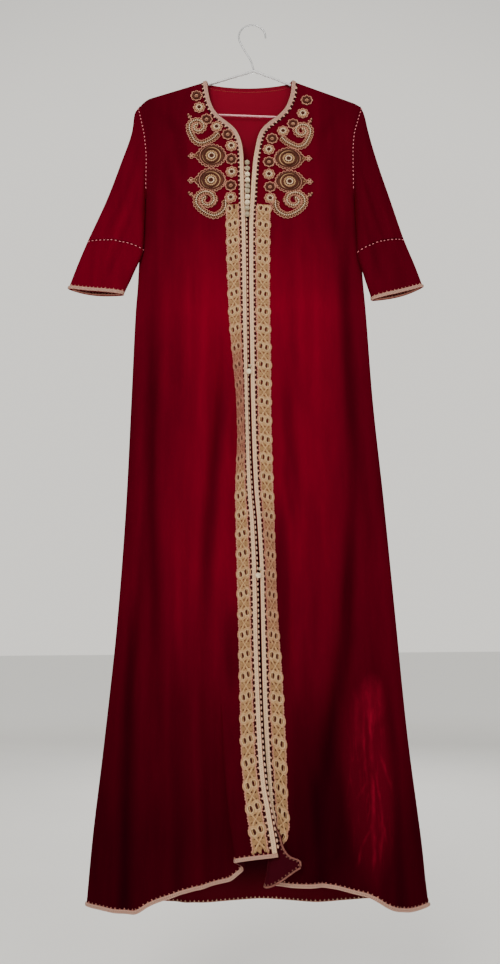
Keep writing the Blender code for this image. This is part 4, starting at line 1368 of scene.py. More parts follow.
def frontBraid(side, edge):
    work = Bundle()
    end = edge.length - (hemBraidEnd + 0.0003)
    braidStrip(work, 0.001, end)
    teethAlong(work, "front", 0.004, end - 0.004, braidEnd - braid["tuck"], 1)
    # a dark cord sunk in the pile under the teeth: painted shadow of the teeth
    teethShadow = columnsOf(np.arange(0.003, end - 0.003, 0.004), braidEnd + 0.0018, 0.0)
    work.cord(teethShadow, 0.0015, 2, squash=0.15)
    if side == "left":
        # thread loops for the buttons along the very edge
        along = np.arange(float(edge.at(buttonLoop["from"])), end - 0.006, buttonLoop["pitch"])
        places = columnsOf(along, buttonLoop["at"], 0.0, unevenly("loops", along), 1.0)
        work.scatter(stitchShape(*buttonLoop["size"]), places, 1)
    else:
        # a knot above each of the low buttons, in the knot's painted-shade colour
        above = edge.at(np.array(knot["low"]) - paintedShadeKnot["above"])
        places = columnsOf(above, paintedShadeKnot["at"], paintedShadeKnot["high"], 0.0, paintedShadeKnot["size"])
        work.scatter(beadShape(), places, 3)
        # where the corner turns over, the braid's binding shows on the reverse
        bindBehind(work, float(edge.at(braid["turnsOver"])), edge.length - 0.002, 4)
    materials = finishes("silk_braid tooth_thread foot_thread knot_dim turned_thread")
    keep(work.piece(f"braid_{side}_front", materials, edge), "braid", f"braid_front_{side}")


def makeEdges():
    edges = {}
    ends = braid["ends"]
    for side in ("left", "right"):
        edges[side] = frontEdgeOf(side)
        frontBraid(side, edges[side])
        bound = (0.002, 0.075, 2) if side == "right" else None
        hemBraid(f"braid_{side}_hem", f"braid_hem_{side}", hemEdgeOf(side), ends, 0.004, bound)

        def cuffHem(turn, up):
            return limbPoint(side, turn, 2.0 - up / limb["cuffLength"])

        cuff = Edge(cuffHem, 0.0, 2.0, -1, middle=0.5)
        # the rim's far side shows its binding inside the cuff
        bound = (*cuff.at((1.04, 1.96)), 1)
        hemBraid(f"braid_{side}_cuff", f"braid_cuff_{side}", cuff, ends, 0.002, bound)

    def backHem(share, up):
        return backPoint(share, kaftan["hem"] - up)

    def backNeck(share, low):
        return backPoint(share, kaftan["neckTop"] + low)

    edges["backHem"] = Edge(backHem, 0.0004, 0.9996, 1)
    edges["neck"] = Edge(backNeck, 0.3061, 0.6875, 1)
    hemBraid("braid_back_hem", "braid_hem_back", edges["backHem"], ends, 0.004)
    hemBraid("braid_back_neck", "braid_neck_back", edges["neck"], 0.0005, teethFrom=None)
    print("braids laid")
    return edges


# lace bands beside the opening
lace = {
    "near": 0.0112,
    "far": 0.0360,
    "top": 0.358,
    "thick": 0.0006,
    "pitch": 0.0315,
    "first": {"left": 0.0060, "right": 0.0085},
    "eye": (0.0048, 0.0038),
    "eyeApart": 0.0052,
    "eyeSlant": {"left": 0.0018, "right": 0.0014},
    # rings round each eye: how much wider, cord radius, height, thread
    "rings": (
        # the first ring, inside the eye, is a dark cord of painted shade in the hole
        (-0.0014, 0.0012, 0.0003, 3),
        (0.0006, 0.0007, 0.0014, 4),
        (0.0023, 0.0006, 0.0009, 1),
        (0.0038, 0.0006, 0.0006, 1),
    ),
    "strands": (0.0066, 0.0088),
    "strand": 0.00055,
    "edgeCord": 0.0008,
    "picot": 0.0022,
    "dots": (0.0018, 0.0030),
    "halfWidth": 0.0099,
    "lobe": 0.0022,
    "smallLobe": 0.0010,
    # small holes: how far along and across from the middle, half sizes
    "besideEyes": (0.34, 0.0058, 0.0017, 0.0011),
    "betweenEyes": (0.0056, 0.0013, 0.0011),
    "grid": 0.0014,
    "halfGrid": (0.0126, 19),
}
laceMiddle = (lace["near"] + lace["far"]) / 2


def scallop(along):
    # half width of the band: a wide lobe at each pair of eyes and a smaller one between
    phase = along / lace["pitch"]
    wave = np.abs(np.cos(2 * math.pi * phase)) ** 0.7
    small = 0.5 - 0.5 * np.cos(2 * math.pi * phase)
    return lace["halfWidth"] + wave * (lace["lobe"] - lace["smallLobe"] * small)


def laceHoles(side, along, across):
    # below 0 inside a hole; along counts from a pair of eyes
    pitch = lace["pitch"]
    place = (along + pitch / 2) % pitch - pitch / 2
    holes = []
    for way in (-1, 1):
        shift = way * lace["eyeSlant"][side]
        longAxis, shortAxis = lace["eye"]
        a = (place - shift) / longAxis
        b = (across - laceMiddle - way * lace["eyeApart"]) / shortAxis
        holes.append((np.hypot(a, b) - 1) * shortAxis)
        share, apart, longAxis, shortAxis = lace["besideEyes"]
        for near in (-1, 1):
            a = (place - near * pitch * share) / longAxis
            b = (across - laceMiddle - way * apart) / shortAxis
            holes.append((np.hypot(a, b) - 1) * 0.0012)
    between = (along % pitch) - pitch / 2
    apart, longAxis, shortAxis = lace["betweenEyes"]
    for shift in (-apart, apart):
        a = (between - shift) / longAxis
        holes.append((np.hypot(a, (across - laceMiddle) / shortAxis) - 1) * shortAxis)
    return np.minimum.reduce(holes)


def eyeRings(work, side, at, low, high):
    # corded rings round the two eyes at one place, unless they would cross an end
    turns = np.arange(14) / 14 * math.tau
    for way in (-1, 1):
        middle = at + way * lace["eyeSlant"][side]
        for wider, radius, raised, slot in lace["rings"]:
            a = middle + (lace["eye"][0] + wider) * np.cos(turns)
            b = laceMiddle + way * lace["eyeApart"] + (lace["eye"][1] + wider) * np.sin(turns)
            if a.min() > low and a.max() < high:
                work.cord(columnsOf(a, b, raised), radius, slot, closed=True)


def makeLace(edges):
    materials = finishes("lace_ground lace_cord lace_pink lace_dark lace_light")
    dot = beadShape()
    for side in ("left", "right"):
        edge = edges[side]
        start = float(edge.at(lace["top"]))
        length = edge.length - hemBraidEnd - 0.0020 - start
        first = lace["first"][side]
        work = Bundle()

        def distance(along, across):
            place = along - start - first
            band = np.abs(across - laceMiddle) - scallop(place)
            inside = np.maximum(band, np.maximum(start - along, along - start - length))
            return np.maximum(inside, -laceHoles(side, place, across))

        half, rows = lace["halfGrid"]
        a = np.arange(start, start + length + lace["grid"], lace["grid"])
        b = np.linspace(laceMiddle - half, laceMiddle + half, rows)
        work.sheet(a, b, distance, lace["thick"])
        along = np.arange(start + 0.0006, start + length - 0.0006, 0.0021)
        phase = (along - start - first) / lace["pitch"]
        swing = np.cos(math.pi * phase)
        for way in (-1, 1):
            outer = laceMiddle + way * (scallop(along - start - first) - 0.0006)
            work.cord(columnsOf(along, outer), lace["edgeCord"], 2)
            # picots along the scalloped edge
            picots = along[::2]
            outer = laceMiddle + way * (scallop(picots - start - first) + 0.0002)
            work.scatter(dot, columnsOf(picots, outer, 0.0002, 0.0, lace["picot"]), 2)
            lift = 0.0008 + way * 0.0004 * np.sin(math.pi * phase)
            for reach in lace["strands"]:
                path = columnsOf(along, laceMiddle + way * reach * swing, lift + 0.0003)
                work.cord(path, lace["strand"], 1)
        count = int(length / lace["pitch"]) + 2
        for number in range(-1, count):
            eyeRings(work, side, start + first + number * lace["pitch"], start, start + length)
        dots = []
        for number in range(-1, 2 * count):
            at = start + first + number * lace["pitch"] / 2
            if start + 0.002 < at < start + length - 0.002:
                dots.append((at, laceMiddle, 0.0008, 0.0, lace["dots"][number % 2]))
        work.scatter(dot, dots, 1)
        keep(work.piece(f"lace_band_{side}", materials, edge), "lace", f"lace_{side}")
    print("lace bands laid")


# lace on the chest, in millimetres: distance outwards from the axis, and level below the hook
chest = {
    "axis": -0.006,
    "rightDrop": 13.3,
    "rightFrom": 146.4,
    "rightScale": 0.946,
    "thick": 0.0007,
    "grid": 0.0016,
    "top": {"left": ((94, 146, 1), (89, 170, 0)), "right": ((101, 143, 1), (93.5, 171.5, 0))},
    "rosettes": (
        (76, 194, 1), (58, 209, 0), (38.5, 224.5, 1),
        (32.4, 247, 0), (32.4, 272.4, 1), (32, 297.3, 0), (33.6, 323, 1), (33.7, 345.7, 0),
    ),
    "medallions": ((67, 266), (68, 312.5)),
    "upper": ((56, 223), (63, 231), (72, 237), (84, 242), (95, 238), (102, 226), (106.5, 213)),
    "upperSpiral": (91.5, 209.3, 15.0, -12, -440),
    "lower": ((42.8, 352), (42.5, 361), (46, 370), (54, 377), (63, 380), (76, 375), (87, 366), (94, 356)),
    "lowerSpiral": (75.5, 350, 18.5, 14, -425),
    "buds": (((101, 199), (108, 184.5)), ((96, 345), (105.8, 335.7)), ((62, 358), (57.6, 348))),
    # the ground round each shape: radius or half width outside its middle
    "rosetteGround": 9.0,
    "medallionGround": (24.5, 21.3, 21.0),
    "tipGround": (18, 108, 3.6, 1.6),
    "scrollGround": 4.2,
    "budGround": 2.6,
    "blend": 1.6,
    # where the lace bands begin, and how far the ground stays from the front edge above and below that
    "clear": (0.356, 0.0128, 0.0390),
}
# rings of each motif: thread's radius or beads' size, slot, beads' spacing (0 for a cord), beads'
# height, the ring, and for a cord how its radius swells or how many sides it has
motifs = {
    "rosette": (
        (0.62, 2, 0, 0.0, {"radiusU": 8.3, "lobes": 8, "depth": 2.2}),
        (1.9, 2, 3.4, -0.0003, {"radiusU": 8.9, "count": 40}),
    ),
    "dark": (
        (1.75, 3, 0, 0.0, {"radiusU": 5.5, "count": 24}),
        (0.6, 2, 0, 0.0, {"radiusU": 2.3, "lobes": 6, "depth": 0.4, "count": 24}),
    ),
    "pale": (
        (0.75, 1, 0, 0.0, {"radiusU": 6.7, "count": 24}),
        (2.6, 4, 2.7, 0.0, {"radiusU": 4.5, "count": 30}),
    ),
    "medallion": (
        (1.1, 3, 0, 0.0, {"radiusU": 2.2, "count": 18}),
        (2.7, 4, 2.6, 0.0, {"radiusU": 5.2, "count": 40}),
        (0.65, 1, 0, 0.0, {"radiusU": 8.2, "lobes": 10, "depth": 0.9, "count": 50}),
        (1.8, 1, 2.9, -0.0002, {"radiusU": 10.0, "count": 60}),
        (1.5, 3, 0, 0.0, {"radiusU": 12.9, "count": 52, "aside": 0.8}, {"swell": 0.8}),
        (0.7, 1, 0, 0.0, {"radiusU": 15.8, "count": 52}),
        (1.5, 3, 0, 0.0, {"radiusU": 18.0, "radiusV": 17.2, "count": 60,
                          "tip": 4.6, "toward": math.pi, "wide": 0.55}, {"sides": 6}),
        (0.6, 2, 0, 0.0, {"radiusU": 20.4, "radiusV": 19.0, "count": 60,
                          "tip": 4.0, "toward": math.pi, "wide": 0.5}),
        (2.1, 3, 4.0, -0.0002, {"radiusU": 22.2, "radiusV": 19.9, "count": 120}),
        (0.62, 2, 0, 0.0, {"radiusU": 23.2, "radiusV": 20.2, "lobes": 22, "depth": 2.6, "count": 176,
                           "tip": 10.0, "toward": 0.0, "wide": 0.15}),
    ),
    "tip": (
        (0.55, 2, 0, 0.0, {"radiusU": 2.5, "radiusV": 1.8, "count": 12}),
    ),
}
tipLoops = ((37.5, 0.0), (34.7, -3.6), (34.7, 3.6))
# along a scroll: beads as (spacing, size), and how far beside its middle each thread lies
scroll = {
    "narrowsTo": 0.62,
    "beads": (3.3, 2.5),
    "cordBeside": 1.9,
    "cord": 0.55,
    "goldBeside": 3.3,
    "gold": (4.0, 1.7),
    "edgeBeside": 4.4,
    "edge": 0.6,
    "loopDepth": 2.2,
    "loopLength": 5.2,
    "lineStep": 1.3,
}


def smoothLine(points, spacing=scroll["lineStep"]):
    # an even run of points along a smooth line through the given ones
    points = np.asarray(points, dtype=float)
    padded = np.concatenate((2 * points[:1] - points[1:2], points, 2 * points[-1:] - points[-2:-1]))
    found = []
    for number in range(1, len(padded) - 2):
        a, b, c, d = padded[number - 1:number + 3]
        t = np.linspace(0, 1, 16, endpoint=False)[:, None]
        square, cube = 2 * a - 5 * b + 4 * c - d, 3 * b - a - 3 * c + d
        found.append(0.5 * (2 * b + (c - a) * t + square * t ** 2 + cube * t ** 3))
    line = np.concatenate(found + [points[-1:]])
    return evenLine(line, spacing)


def evenLine(line, spacing):
    pace = np.linalg.norm(np.diff(line, axis=0), axis=1)
    lengths = np.concatenate(([0.0], np.cumsum(pace)))
    at = np.linspace(0, lengths[-1], max(3, int(lengths[-1] / spacing)))
    return np.stack([np.interp(at, lengths, line[:, axis]) for axis in (0, 1)], axis=-1)


def besideLine(line, offset):
    ahead = np.gradient(line, axis=0)
    ahead /= np.linalg.norm(ahead, axis=1, keepdims=True)
    offset = np.broadcast_to(offset, (len(line),))[:, None]
    return line + np.stack((-ahead[:, 1], ahead[:, 0]), axis=-1) * offset


def scrollLine(points, spiral):
    u, v, radius, start, end = spiral
    angle = np.radians(np.linspace(start, end, 90))
    shrink = np.linspace(1.0, 0.30, 90) * radius
    curl = np.stack((u + shrink * np.cos(angle), v + shrink * np.sin(angle)), axis=-1)
    return evenLine(np.concatenate((smoothLine(points)[:-1], curl)), scroll["lineStep"])


def ringLine(u, v, radiusU, radiusV=None, lobes=0, depth=0.0, count=48,
             tip=0.0, toward=0.0, wide=0.3, aside=0.0):
    # a ring, with lobes round it or one tip drawn out
    angle = np.arange(count) / count * math.tau
    apart = np.abs((angle - toward + math.pi) % math.tau - math.pi)
    extra = depth * np.abs(np.cos(lobes * angle / 2)) + tip * np.exp(-(apart / wide) ** 1.6)
    u = u + aside + (radiusU + extra) * np.cos(angle)
    v = v + ((radiusV or radiusU) + extra) * np.sin(angle)
    return np.stack((u, v), axis=-1)


def lineDistance(u, v, line):
    best = np.full(u.shape, 1e9)
    for (au, av), (bu, bv) in zip(line[:-1:3], line[3::3]):
        du, dv = bu - au, bv - av
        t = np.clip(((u - au) * du + (v - av) * dv) / (du * du + dv * dv + 1e-9), 0, 1)
        best = np.minimum(best, np.hypot(u - au - t * du, v - av - t * dv))
    return best


def chestDistance(u, v, rosettes, scrolls):
    # millimetres outside the lace's ground; shapes run together where they nearly touch
    parts = [np.hypot(u - a, v - b) - chest["rosetteGround"] for a, b, _ in rosettes]
    halfU, halfV, size = chest["medallionGround"]
    reach, tipEnd, *tipWidths = chest["tipGround"]
    for a, b in chest["medallions"]:
        parts.append((np.hypot((u - a) / halfU, (v - b) / halfV) - 1) * size)
        tipU = np.clip(u, a + reach, tipEnd)
        parts.append(np.hypot(u - tipU, v - b) - np.interp(tipU, (a + reach, tipEnd), tipWidths))
    for line in scrolls:
        parts.append(lineDistance(u, v, line) - chest["scrollGround"])
    for start, end in chest["buds"]:
        parts.append(lineDistance(u, v, np.linspace(start, end, 4)) - chest["budGround"])
    soft = chest["blend"]
    return -soft * np.log(sum(np.exp(-np.clip(part, -60, 60) / soft) for part in parts))


def rowAt(side, x, v, tries):
    # the cloth's row that passes level v at x
    row = v + 0 * x
    for _ in range(tries):
        row = v - shoulderLine(side, x) * slopeLeft(row)
    return row


def chestSpot(side):
    def point(u, v):
        # u outwards from the axis, v the level below the hook, both in metres
        x = chest["axis"] + out[side] * u
        row = rowAt(side, x, v, 12)
        across = acrossReach(side, out[side] * (x - read(frontEdge, side, row)), row)
        return frontPoint(side, across, row)
    return point


def fromEdge(side, u, v):
    x = chest["axis"] + out[side] * u
    row = rowAt(side, x, v, 8)
    return out[side] * (x - read(frontEdge, side, row)) / np.sqrt(1 + edgeSlope(side, row) ** 2)


class ChestLace(Bundle):
    # threads and beads by their place in millimetres
    def __init__(self, side):
        super().__init__()
        right = side == "right"
        self.scale, self.drop = (chest["rightScale"], chest["rightDrop"]) if right else (1.0, 0.0)
        self.bead = beadShape()

    def level(self, v):
        return (self.drop + chest["rightFrom"] + (v - chest["rightFrom"]) * self.scale) / 1000

    def unlevel(self, v):
        return (v * 1000 - self.drop - chest["rightFrom"]) / self.scale + chest["rightFrom"]

    def put(self, line, radius, slot, closed=False, sides=5):
        flat = np.stack((line[:, 0] / 1000, self.level(line[:, 1])), axis=-1)
        self.cord(flat, np.asarray(radius) / 1000, slot, sides, closed, lift=chest["thick"] * 0.6)

    def putBeads(self, line, spacing, size, slot, high=0.0):
        u, v = evenLine(line, spacing).T
        places = columnsOf(u / 1000, self.level(v), chest["thick"] + high, 0.0, size / 1000)
        self.scatter(self.bead, places, slot)

    def putKnot(self, u, v, size, slot, high):
        # one knot of thread, wound three times in its place
        self.putBeads(np.array(((u, v), (u + 0.01, v), (u + 0.02, v))), 9, size, slot, high)

    def putMotif(self, name, u, v):
        for size, slot, spacing, high, ring, *more in motifs[name]:
            line = ringLine(u, v, **ring)
            if spacing:
                self.putBeads(line, spacing, size, slot, high)
                continue
            more = dict(*more)
            angle = np.arange(len(line)) / len(line) * math.tau
            radius = size + more.get("swell", 0.0) * np.cos(angle)
            self.put(line, radius, slot, True, more.get("sides", 5))

    def putScroll(self, line):
        count = len(line)
        narrow = np.linspace(1.0, scroll["narrowsTo"], count)
        self.putBeads(line, *scroll["beads"], 4, 0.0001)
        # the scalloped edge is loops of pink thread
        wave = np.abs(np.sin(np.arange(count) * scroll["lineStep"] / scroll["loopLength"] * math.pi))
        for way in (-1, 1):
            self.put(besideLine(line, way * scroll["cordBeside"] * narrow), scroll["cord"], 3)
            self.putBeads(besideLine(line, way * scroll["goldBeside"] * narrow), *scroll["gold"], 1, 0.0001)
            edge = scroll["edgeBeside"] * narrow + scroll["loopDepth"] * wave
            self.put(besideLine(line, way * edge), scroll["edge"], 2)

    def putBud(self, start, end):
        # a stem with three knots at its tip
        stem = np.linspace(start, end, 9)
        self.put(stem[:-1], 0.7, 2)
        for at, aside in ((-1, 0.0), (-4, 2.3), (-4, -2.3)):
            self.putKnot(*besideLine(stem, np.full(9, aside))[at], 2.7, 2, 0.0003)


def makeChestLace():
    materials = finishes("chest_net lace_cord lace_pink lace_dark lace_cream")
    scrolls = [scrollLine(chest[name], chest[name + "Spiral"]) for name in ("upper", "lower")]
    for side in ("left", "right"):
        work = ChestLace(side)
        rosettes = chest["top"][side] + chest["rosettes"]
        top, clearAbove, clearBelow = chest["clear"]

        def distance(u, v):
            shapes = chestDistance(u * 1000, work.unlevel(v), rosettes, scrolls) / 1000
            return np.maximum(shapes, np.where(v < top, clearAbove, clearBelow) - fromEdge(side, u, v))

        a = np.arange(0.016, 0.114, chest["grid"])
        b = np.arange(0.120, 0.400, chest["grid"])
        work.sheet(a, b, distance, chest["thick"])
        for u, v, dark in rosettes:
            work.putMotif("rosette", u, v)
            work.putMotif("dark" if dark else "pale", u, v)
            work.putKnot(u, v, *((2.4, 1, 0.0004) if dark else (3.8, 3, 0.0002)))
        for u, v in chest["medallions"]:
            work.putMotif("medallion", u, v)
            for beyond, rise in tipLoops:
                work.putMotif("tip", u + beyond, v + rise)
            work.putBeads(np.array(((u + 25, v), (u + 29, v), (u + 33, v))), 3, 2.0, 1)
        for line in scrolls:
            work.putScroll(line)
        for start, end in chest["buds"]:
            work.putBud(start, end)
        carrier = Carrier(chestSpot(side), (0.06, 0.25), -1, lift=0.0003)
        keep(work.piece(f"chest_lace_{side}", materials, carrier), "lace", f"applique_{side}")
    print("chest lace laid")


# knot buttons
knot = {
    "radius": 0.0047,
    "sink": 0.0010,
    "first": 0.2798,
    "pitch": 0.01124,
    "count": 10,
    "low": (0.6627, 0.9979),
    # knots drawn in painted light; the others in painted shade
    "paintedLit": (3, 4, 7, 8, 11, 12),
    "cord": 0.00115,
    "rounds": 3,  # how often the cord goes round the ball
    "passes": 5,  # and how often up and down it
    "lean": 62,
    "points": 132,
    "proud": 0.0020,
}


def knotPlaces():
    downs = [knot["first"] + knot["pitch"] * step for step in range(knot["count"])]
    places = []
    for down in downs + list(knot["low"]):
        left = frontPoint("left", np.array(0.0), np.array(down))
        right = frontPoint("right", np.array(0.0), np.array(down))
        place = (left + right) / 2
        place[0] = min(place[0], left[0] + knot["radius"] + 2 * kaftan["gap"])
        beside, clear = place[0] - left[0], knot["radius"] + kaftan["gap"]
        rise = math.sqrt(clear ** 2 - beside ** 2) if beside < clear else -knot["sink"]
        place[1] -= kaftan["wall"] / 2 + kaftan["gap"] + knot["proud"] + rise
        places.append(place)
    return places


def knotModel():
    # a ball wound with one cord that passes over and under itself
    freeSelection()
    inside = knot["radius"] - 2 * knot["cord"]
    bpy.ops.mesh.primitive_uv_sphere_add(segments=16, ring_count=10, radius=inside)
    core = bpy.context.object
    rounds, passes = knot["rounds"], knot["passes"]
    turns = np.linspace(0, rounds * math.tau, knot["points"], endpoint=False)
    lean = math.radians(knot["lean"]) * np.cos(turns * passes / rounds)
    radius = knot["radius"] - knot["cord"] * (1.15 - 0.30 * np.sin(turns * 2 * passes / rounds))
    x, z = radius * np.cos(lean) * np.cos(turns), radius * np.cos(lean) * np.sin(turns)
    y = radius * np.sin(lean)
    wireAlong("winding", list(zip(x, z, y)), knot["cord"], True, 1)
    core.select_set(True)
    bpy.context.view_layer.objects.active = core
    bpy.ops.object.join()
    core.data.shade_smooth()
    return core


def makeKnots():
    model = knotModel()
    for number, place in enumerate(knotPlaces(), start=1):
        mesh = model.data.copy()
        # lit and shaded copies of one knot colour: painted light and painted shade
        name = "knot_painted_lit" if number in knot["paintedLit"] else "knot_dim"
        mesh.materials.clear()
        mesh.materials.append(finish[name])
        # each knot is turned a different way
        tipped = Matrix.Rotation(math.radians(90 + 17 * number), 4, "X")
        turn = tipped @ Matrix.Rotation(number * 0.9, 4, "Z")
        mesh.transform(Matrix.Translation(tuple(place)) @ turn)
        keep(placed(f"knot_{number}", mesh), "button", f"button_{number}")
    bpy.data.objects.remove(model, do_unlink=True)
    print("knot buttons tied")


# the hanger
hanger = {
    "apex": (0.0025, -0.0915),
    "armAngle": 20.15,
    "tilt": 2.15,
    "drop": 0.0905,
    "endRadius": 0.013,
    "apexRadius": 0.006,
    "tube": 0.0025,
    "hookWire": 0.0015,
    "hookRadius": 0.0242,
    "hookTurn": (-5, 203),
    "stemSeat": (-0.0006, 0.0006),
    "stemLeave": (0.014, -0.034),
    "stemArrive": (-0.006, 0.030),
}


def roundedTriangle():
    half = hanger["drop"] / math.tan(math.radians(hanger["armAngle"]))
    lean = math.radians(hanger["tilt"])
    corners = []
    for x, z in ((0.0, 0.0), (-half, -hanger["drop"]), (half, -hanger["drop"])):
        corners.append(Vector((
            hanger["apex"][0] + x * math.cos(lean) + z * math.sin(lean),
            hanger["apex"][1] - x * math.sin(lean) + z * math.cos(lean),
        )))
    points = []
    for index, radius in enumerate((hanger["apexRadius"], hanger["endRadius"], hanger["endRadius"])):
        corner = corners[index]
        before = (corners[index - 1] - corner).normalized()
        after = (corners[(index + 1) % 3] - corner).normalized()
        middle = (before + after).normalized()
        half = math.acos(before.dot(after)) / 2
        centre = corner + middle * radius / math.sin(half)
        start = corner + before * radius / math.tan(half) - centre
        turn = math.copysign(math.pi - 2 * half, start.x * after.y - start.y * after.x)
        for step in range(17):
            points.append(centre + Matrix.Rotation(turn * step / 16, 2) @ start)
    return points


def hookLine():
    centre = hanger["hookWire"] - hanger["hookRadius"]
    angles = np.radians(np.linspace(*hanger["hookTurn"], 41))
    radius = hanger["hookRadius"]
    points = [(radius * math.cos(a), centre + radius * math.sin(a)) for a in angles]
    start = np.array(points[-1])
    end = np.array(hanger["apex"]) + np.array(hanger["stemSeat"]) + (0, hanger["tube"])
    leave, arrive = start + hanger["stemLeave"], end + hanger["stemArrive"]
    for t in np.linspace(0, 1, 25)[1:]:
        outward = start * (1 - t) ** 3 + leave * 3 * t * (1 - t) ** 2
        points.append(tuple(outward + arrive * 3 * t ** 2 * (1 - t) + end * t ** 3))
    return points


def makeHanger():
    wires = (
        # name, line, radius, closed, finish, slot, node
        ("hanger_frame", roundedTriangle(), hanger["tube"], True, "coated_wire", "hanger", "hanger"),
        ("hanger_hook_wire", hookLine(), hanger["hookWire"], False, "hook_wire", "hook_wire",
         "hanger_hook"),
    )
    for name, line, radius, closed, material, slot, node in wires:
        made = wireAlong(name, [(x, 0.0, z) for x, z in line], radius, closed, 5)
        made.data.materials.append(finish[material])
        made.data.shade_smooth()
        keep(made, slot, node)
    print("hanger bent")


# how far the rolls at the seams lie inside the cloth's own lines
seamRoll = {"sideIn": 0.0006, "shoulderBelow": 0.0010, "armIn": 0.0008}
# size, first, how far apart, how far below the edge, turn, slot
neckStitches = (
    ((0.0042, 0.0012, 0.0011), 0.003, 0.0032, 0.0024, 1.25, 0),
    ((0.0026, 0.0007, 0.0006), 0.004, 0.0036, 0.0082, 0.0, 1),
)


def makeSeams():
    # narrow rolls of the velvet's turnings, sewn in at the sides, the shoulders and the armholes
    for side in ("left", "right"):

        def sideSeam(down, aside):
            x = read(body, side, down) - out[side] * seamRoll["sideIn"]
            return columnsOf(x, aside, -down)

        def shoulderSeam(reach, aside):
            x = kaftan["neckPoint"][side] + out[side] * reach
            z = -kaftan["neckTop"] - seamRoll["shoulderBelow"] - shoulderLine(side, x)
            return columnsOf(x, aside, z)

        def armSeam(turn, aside):
            place = limbPoint(side, turn, 0.0 * turn)
            place[..., 0] += aside - out[side] * seamRoll["armIn"]
            return place

        tip = out[side] * (read(body, side, kaftan["neckTop"]) - kaftan["neckPoint"][side])
        down = np.arange(kaftan["armpit"] + 0.002, kaftan["hem"] - 0.004, 0.004)
        reach = np.arange(0.004, float(tip) - 0.003, 0.004)
        # name, where it lies, points along it, a place on it, the way it faces, radius, finish
        seams = (
            ("armhole", armSeam, np.linspace(0.004, 1.996, 120), 0.5, (-1, 1), 0.0013, "velvet_sleeves"),
            ("side", sideSeam, down, 0.9, (out[side], 0), 0.0014, "velvet"),
            ("shoulder", shoulderSeam, reach, 0.05, (1, 2), 0.0014, "velvet_sleeves"),
        )
        for name, seam, along, middle, (faces, axis), radius, material in seams:
            line = Carrier(seam, (middle, 0.0), faces, axis=axis)
            line.lift = 0.0
            work = Bundle()
            work.cord(columnsOf(along, 0.0, 0.0), radius, sides=8)
            keep(work.piece(f"seam_{name}_{side}", finishes(material), line), "velvet")
    print("seams closed")


def runningStitches(bundle, start, end):
    count = max(2, int((end - start) / stitch["pitch"]))
    along = start + (np.arange(count) + 0.5) * (end - start) / count
    places = columnsOf(along, 0.0, 0.0, unevenly("stitches", along), 1.0)
    bundle.scatter(stitchShape(*stitch["size"]), places)


def makeStitches(edges):
    for side in ("left", "right"):
        for name, along in (("armhole", 0.012), ("cuff_seam", 1.012)):

            def seam(turn, low):
                return limbPoint(side, turn, along + low / 0.1)

            line = Edge(seam, 0.004, 1.996, -1, middle=0.5)
            ends = stitch["armholeEnds"]
            stretches = [(0.004, ends), (2 - ends, 1.996)] if name == "armhole" else [(0.004, 1.996)]
            work = Bundle()
            for start, end in stretches:
                start, end = line.at((start, end))
                runningStitches(work, start + 0.001, end - 0.001)
            keep(work.piece(f"stitches_{name}_{side}", finishes("stitch_thread"), line), "braid")
    # whip stitches over the back neck's edge, and a faint line of stitching below it
    inside = Edge(edges["neck"].point, 0.309, 0.6845, -1)
    work = Bundle()
    for size, first, apart, across, turn, slot in neckStitches:
        along = np.arange(first, inside.length - first, apart)
        work.scatter(stitchShape(*size), columnsOf(along, across, 0.0, turn, 1.0), slot)
    keep(work.piece("stitches_back_neck", finishes("red_thread faint_thread"), inside), "braid")
    # the hem's stitches show on the back's inside
    inside = Edge(edges["backHem"].point, 0.02, 0.98, -1)
    work = Bundle()
    teethAlong(work, "inside", 0.004, inside.length - 0.004, 0.0016, 0)
    along = np.linspace(0.004, inside.length - 0.004, 160)
    work.cord(columnsOf(along, 0.0010), 0.0007, 1)
    keep(work.piece("stitches_back_hem", finishes("tooth_thread hem_thread"), inside), "braid")
    print("seams stitched")


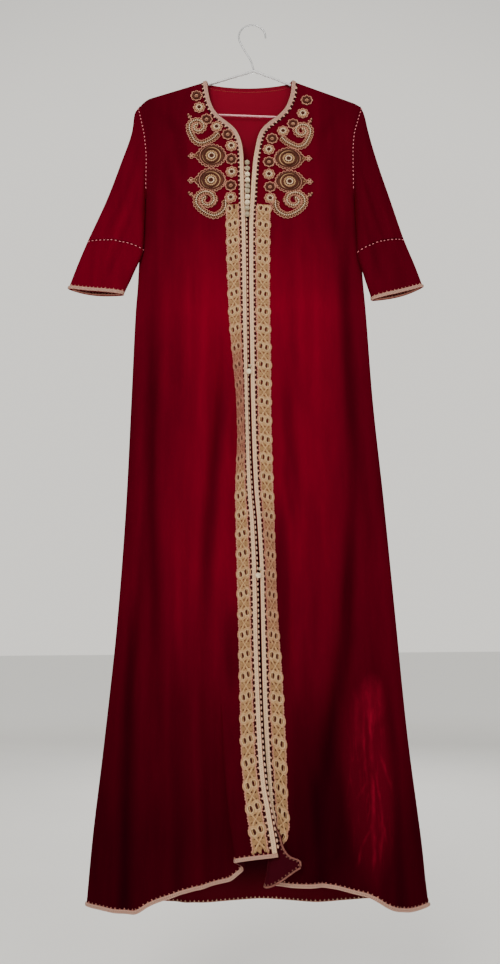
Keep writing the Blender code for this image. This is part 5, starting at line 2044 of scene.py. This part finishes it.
# floor and light
room = {
    "floor": -1.72,
    "around": (0.62, 0.61, 0.585),
    "backdrop": (1.10, 1.065, 0.99),
    "lamps": (
        # name, place, aim, size, power, colour
        ("window", (-0.9, -2.7, 0.55), (0.0, 0.0, -0.45), 1.3, 70.0, (1.0, 0.98, 0.95)),
        ("fill", (1.3, -2.4, -0.1), (0.0, 0.0, -0.6), 1.4, 20.0, (0.97, 0.98, 1.0)),
        ("behind", (0.4, 2.6, 0.5), (0.0, 0.0, -0.6), 1.4, 46.0, (1.0, 0.99, 0.97)),
    ),
}


def makeRoom():
    freeSelection()
    bpy.ops.mesh.primitive_plane_add(size=40, location=(0, 0, room["floor"]))
    floor = bpy.context.object
    bpy.ops.object.transform_apply(location=True, rotation=True, scale=True)
    floor.name = "floor"
    floor.data.materials.append(finish["pale_floor"])
    world = bpy.data.worlds.new("studio")
    bpy.context.scene.world = world
    world.use_nodes = True
    backdrop = world.node_tree.nodes["Background"]
    sky = Wire(world.node_tree)
    behind = sky.parts("Generated")[1].limit(0.62, 0.84)
    shade = sky.mix(behind, rgb(*room["around"]), rgb(*room["backdrop"]))
    world.node_tree.links.new(shade.socket, backdrop.inputs["Color"])
    for name, place, aim, size, power, colour in room["lamps"]:
        lamp = bpy.data.lights.new(name, "AREA")
        lamp.shape = "SQUARE"
        lamp.size, lamp.energy, lamp.color = size, power, colour
        held = placed(name, lamp)
        held.location = place
        held.rotation_euler = (Vector(aim) - Vector(place)).to_track_quat("-Z", "Y").to_euler()
    print("floor and lamps set:", len(room["lamps"]))


makeCamera()
finish = {
    "velvet": velvetFinish("velvet", velvetLook["body"]),
    "velvet_sleeves": velvetFinish("velvet_sleeves", velvetLook["sleeves"]),
    "velvet_reverse": reverseFinish(),
    "silk_braid": braidFinish("silk_braid", -0.25, braid["start"], 1.0),
    "hem_braid": braidFinish("hem_braid", -2.0, braid["hemStart"], braid["hemShare"]),
}
finish.update({name: threadFinish(name) for name in threads})
finish.update({"coated_wire": hangerFinish(), "hook_wire": hookFinish(), "pale_floor": groundFinish()})
print("finishes mixed:", len(finish))
makeRoom()
makeVelvet()
edges = makeEdges()
makeLace(edges)
makeChestLace()
makeKnots()
makeHanger()
makeSeams()
makeStitches(edges)

shown = [o for o in bpy.data.objects if o.type == "MESH" and not o.hide_render]
print("triangles:", sum(len(p.vertices) - 2 for o in shown for p in o.data.polygons))
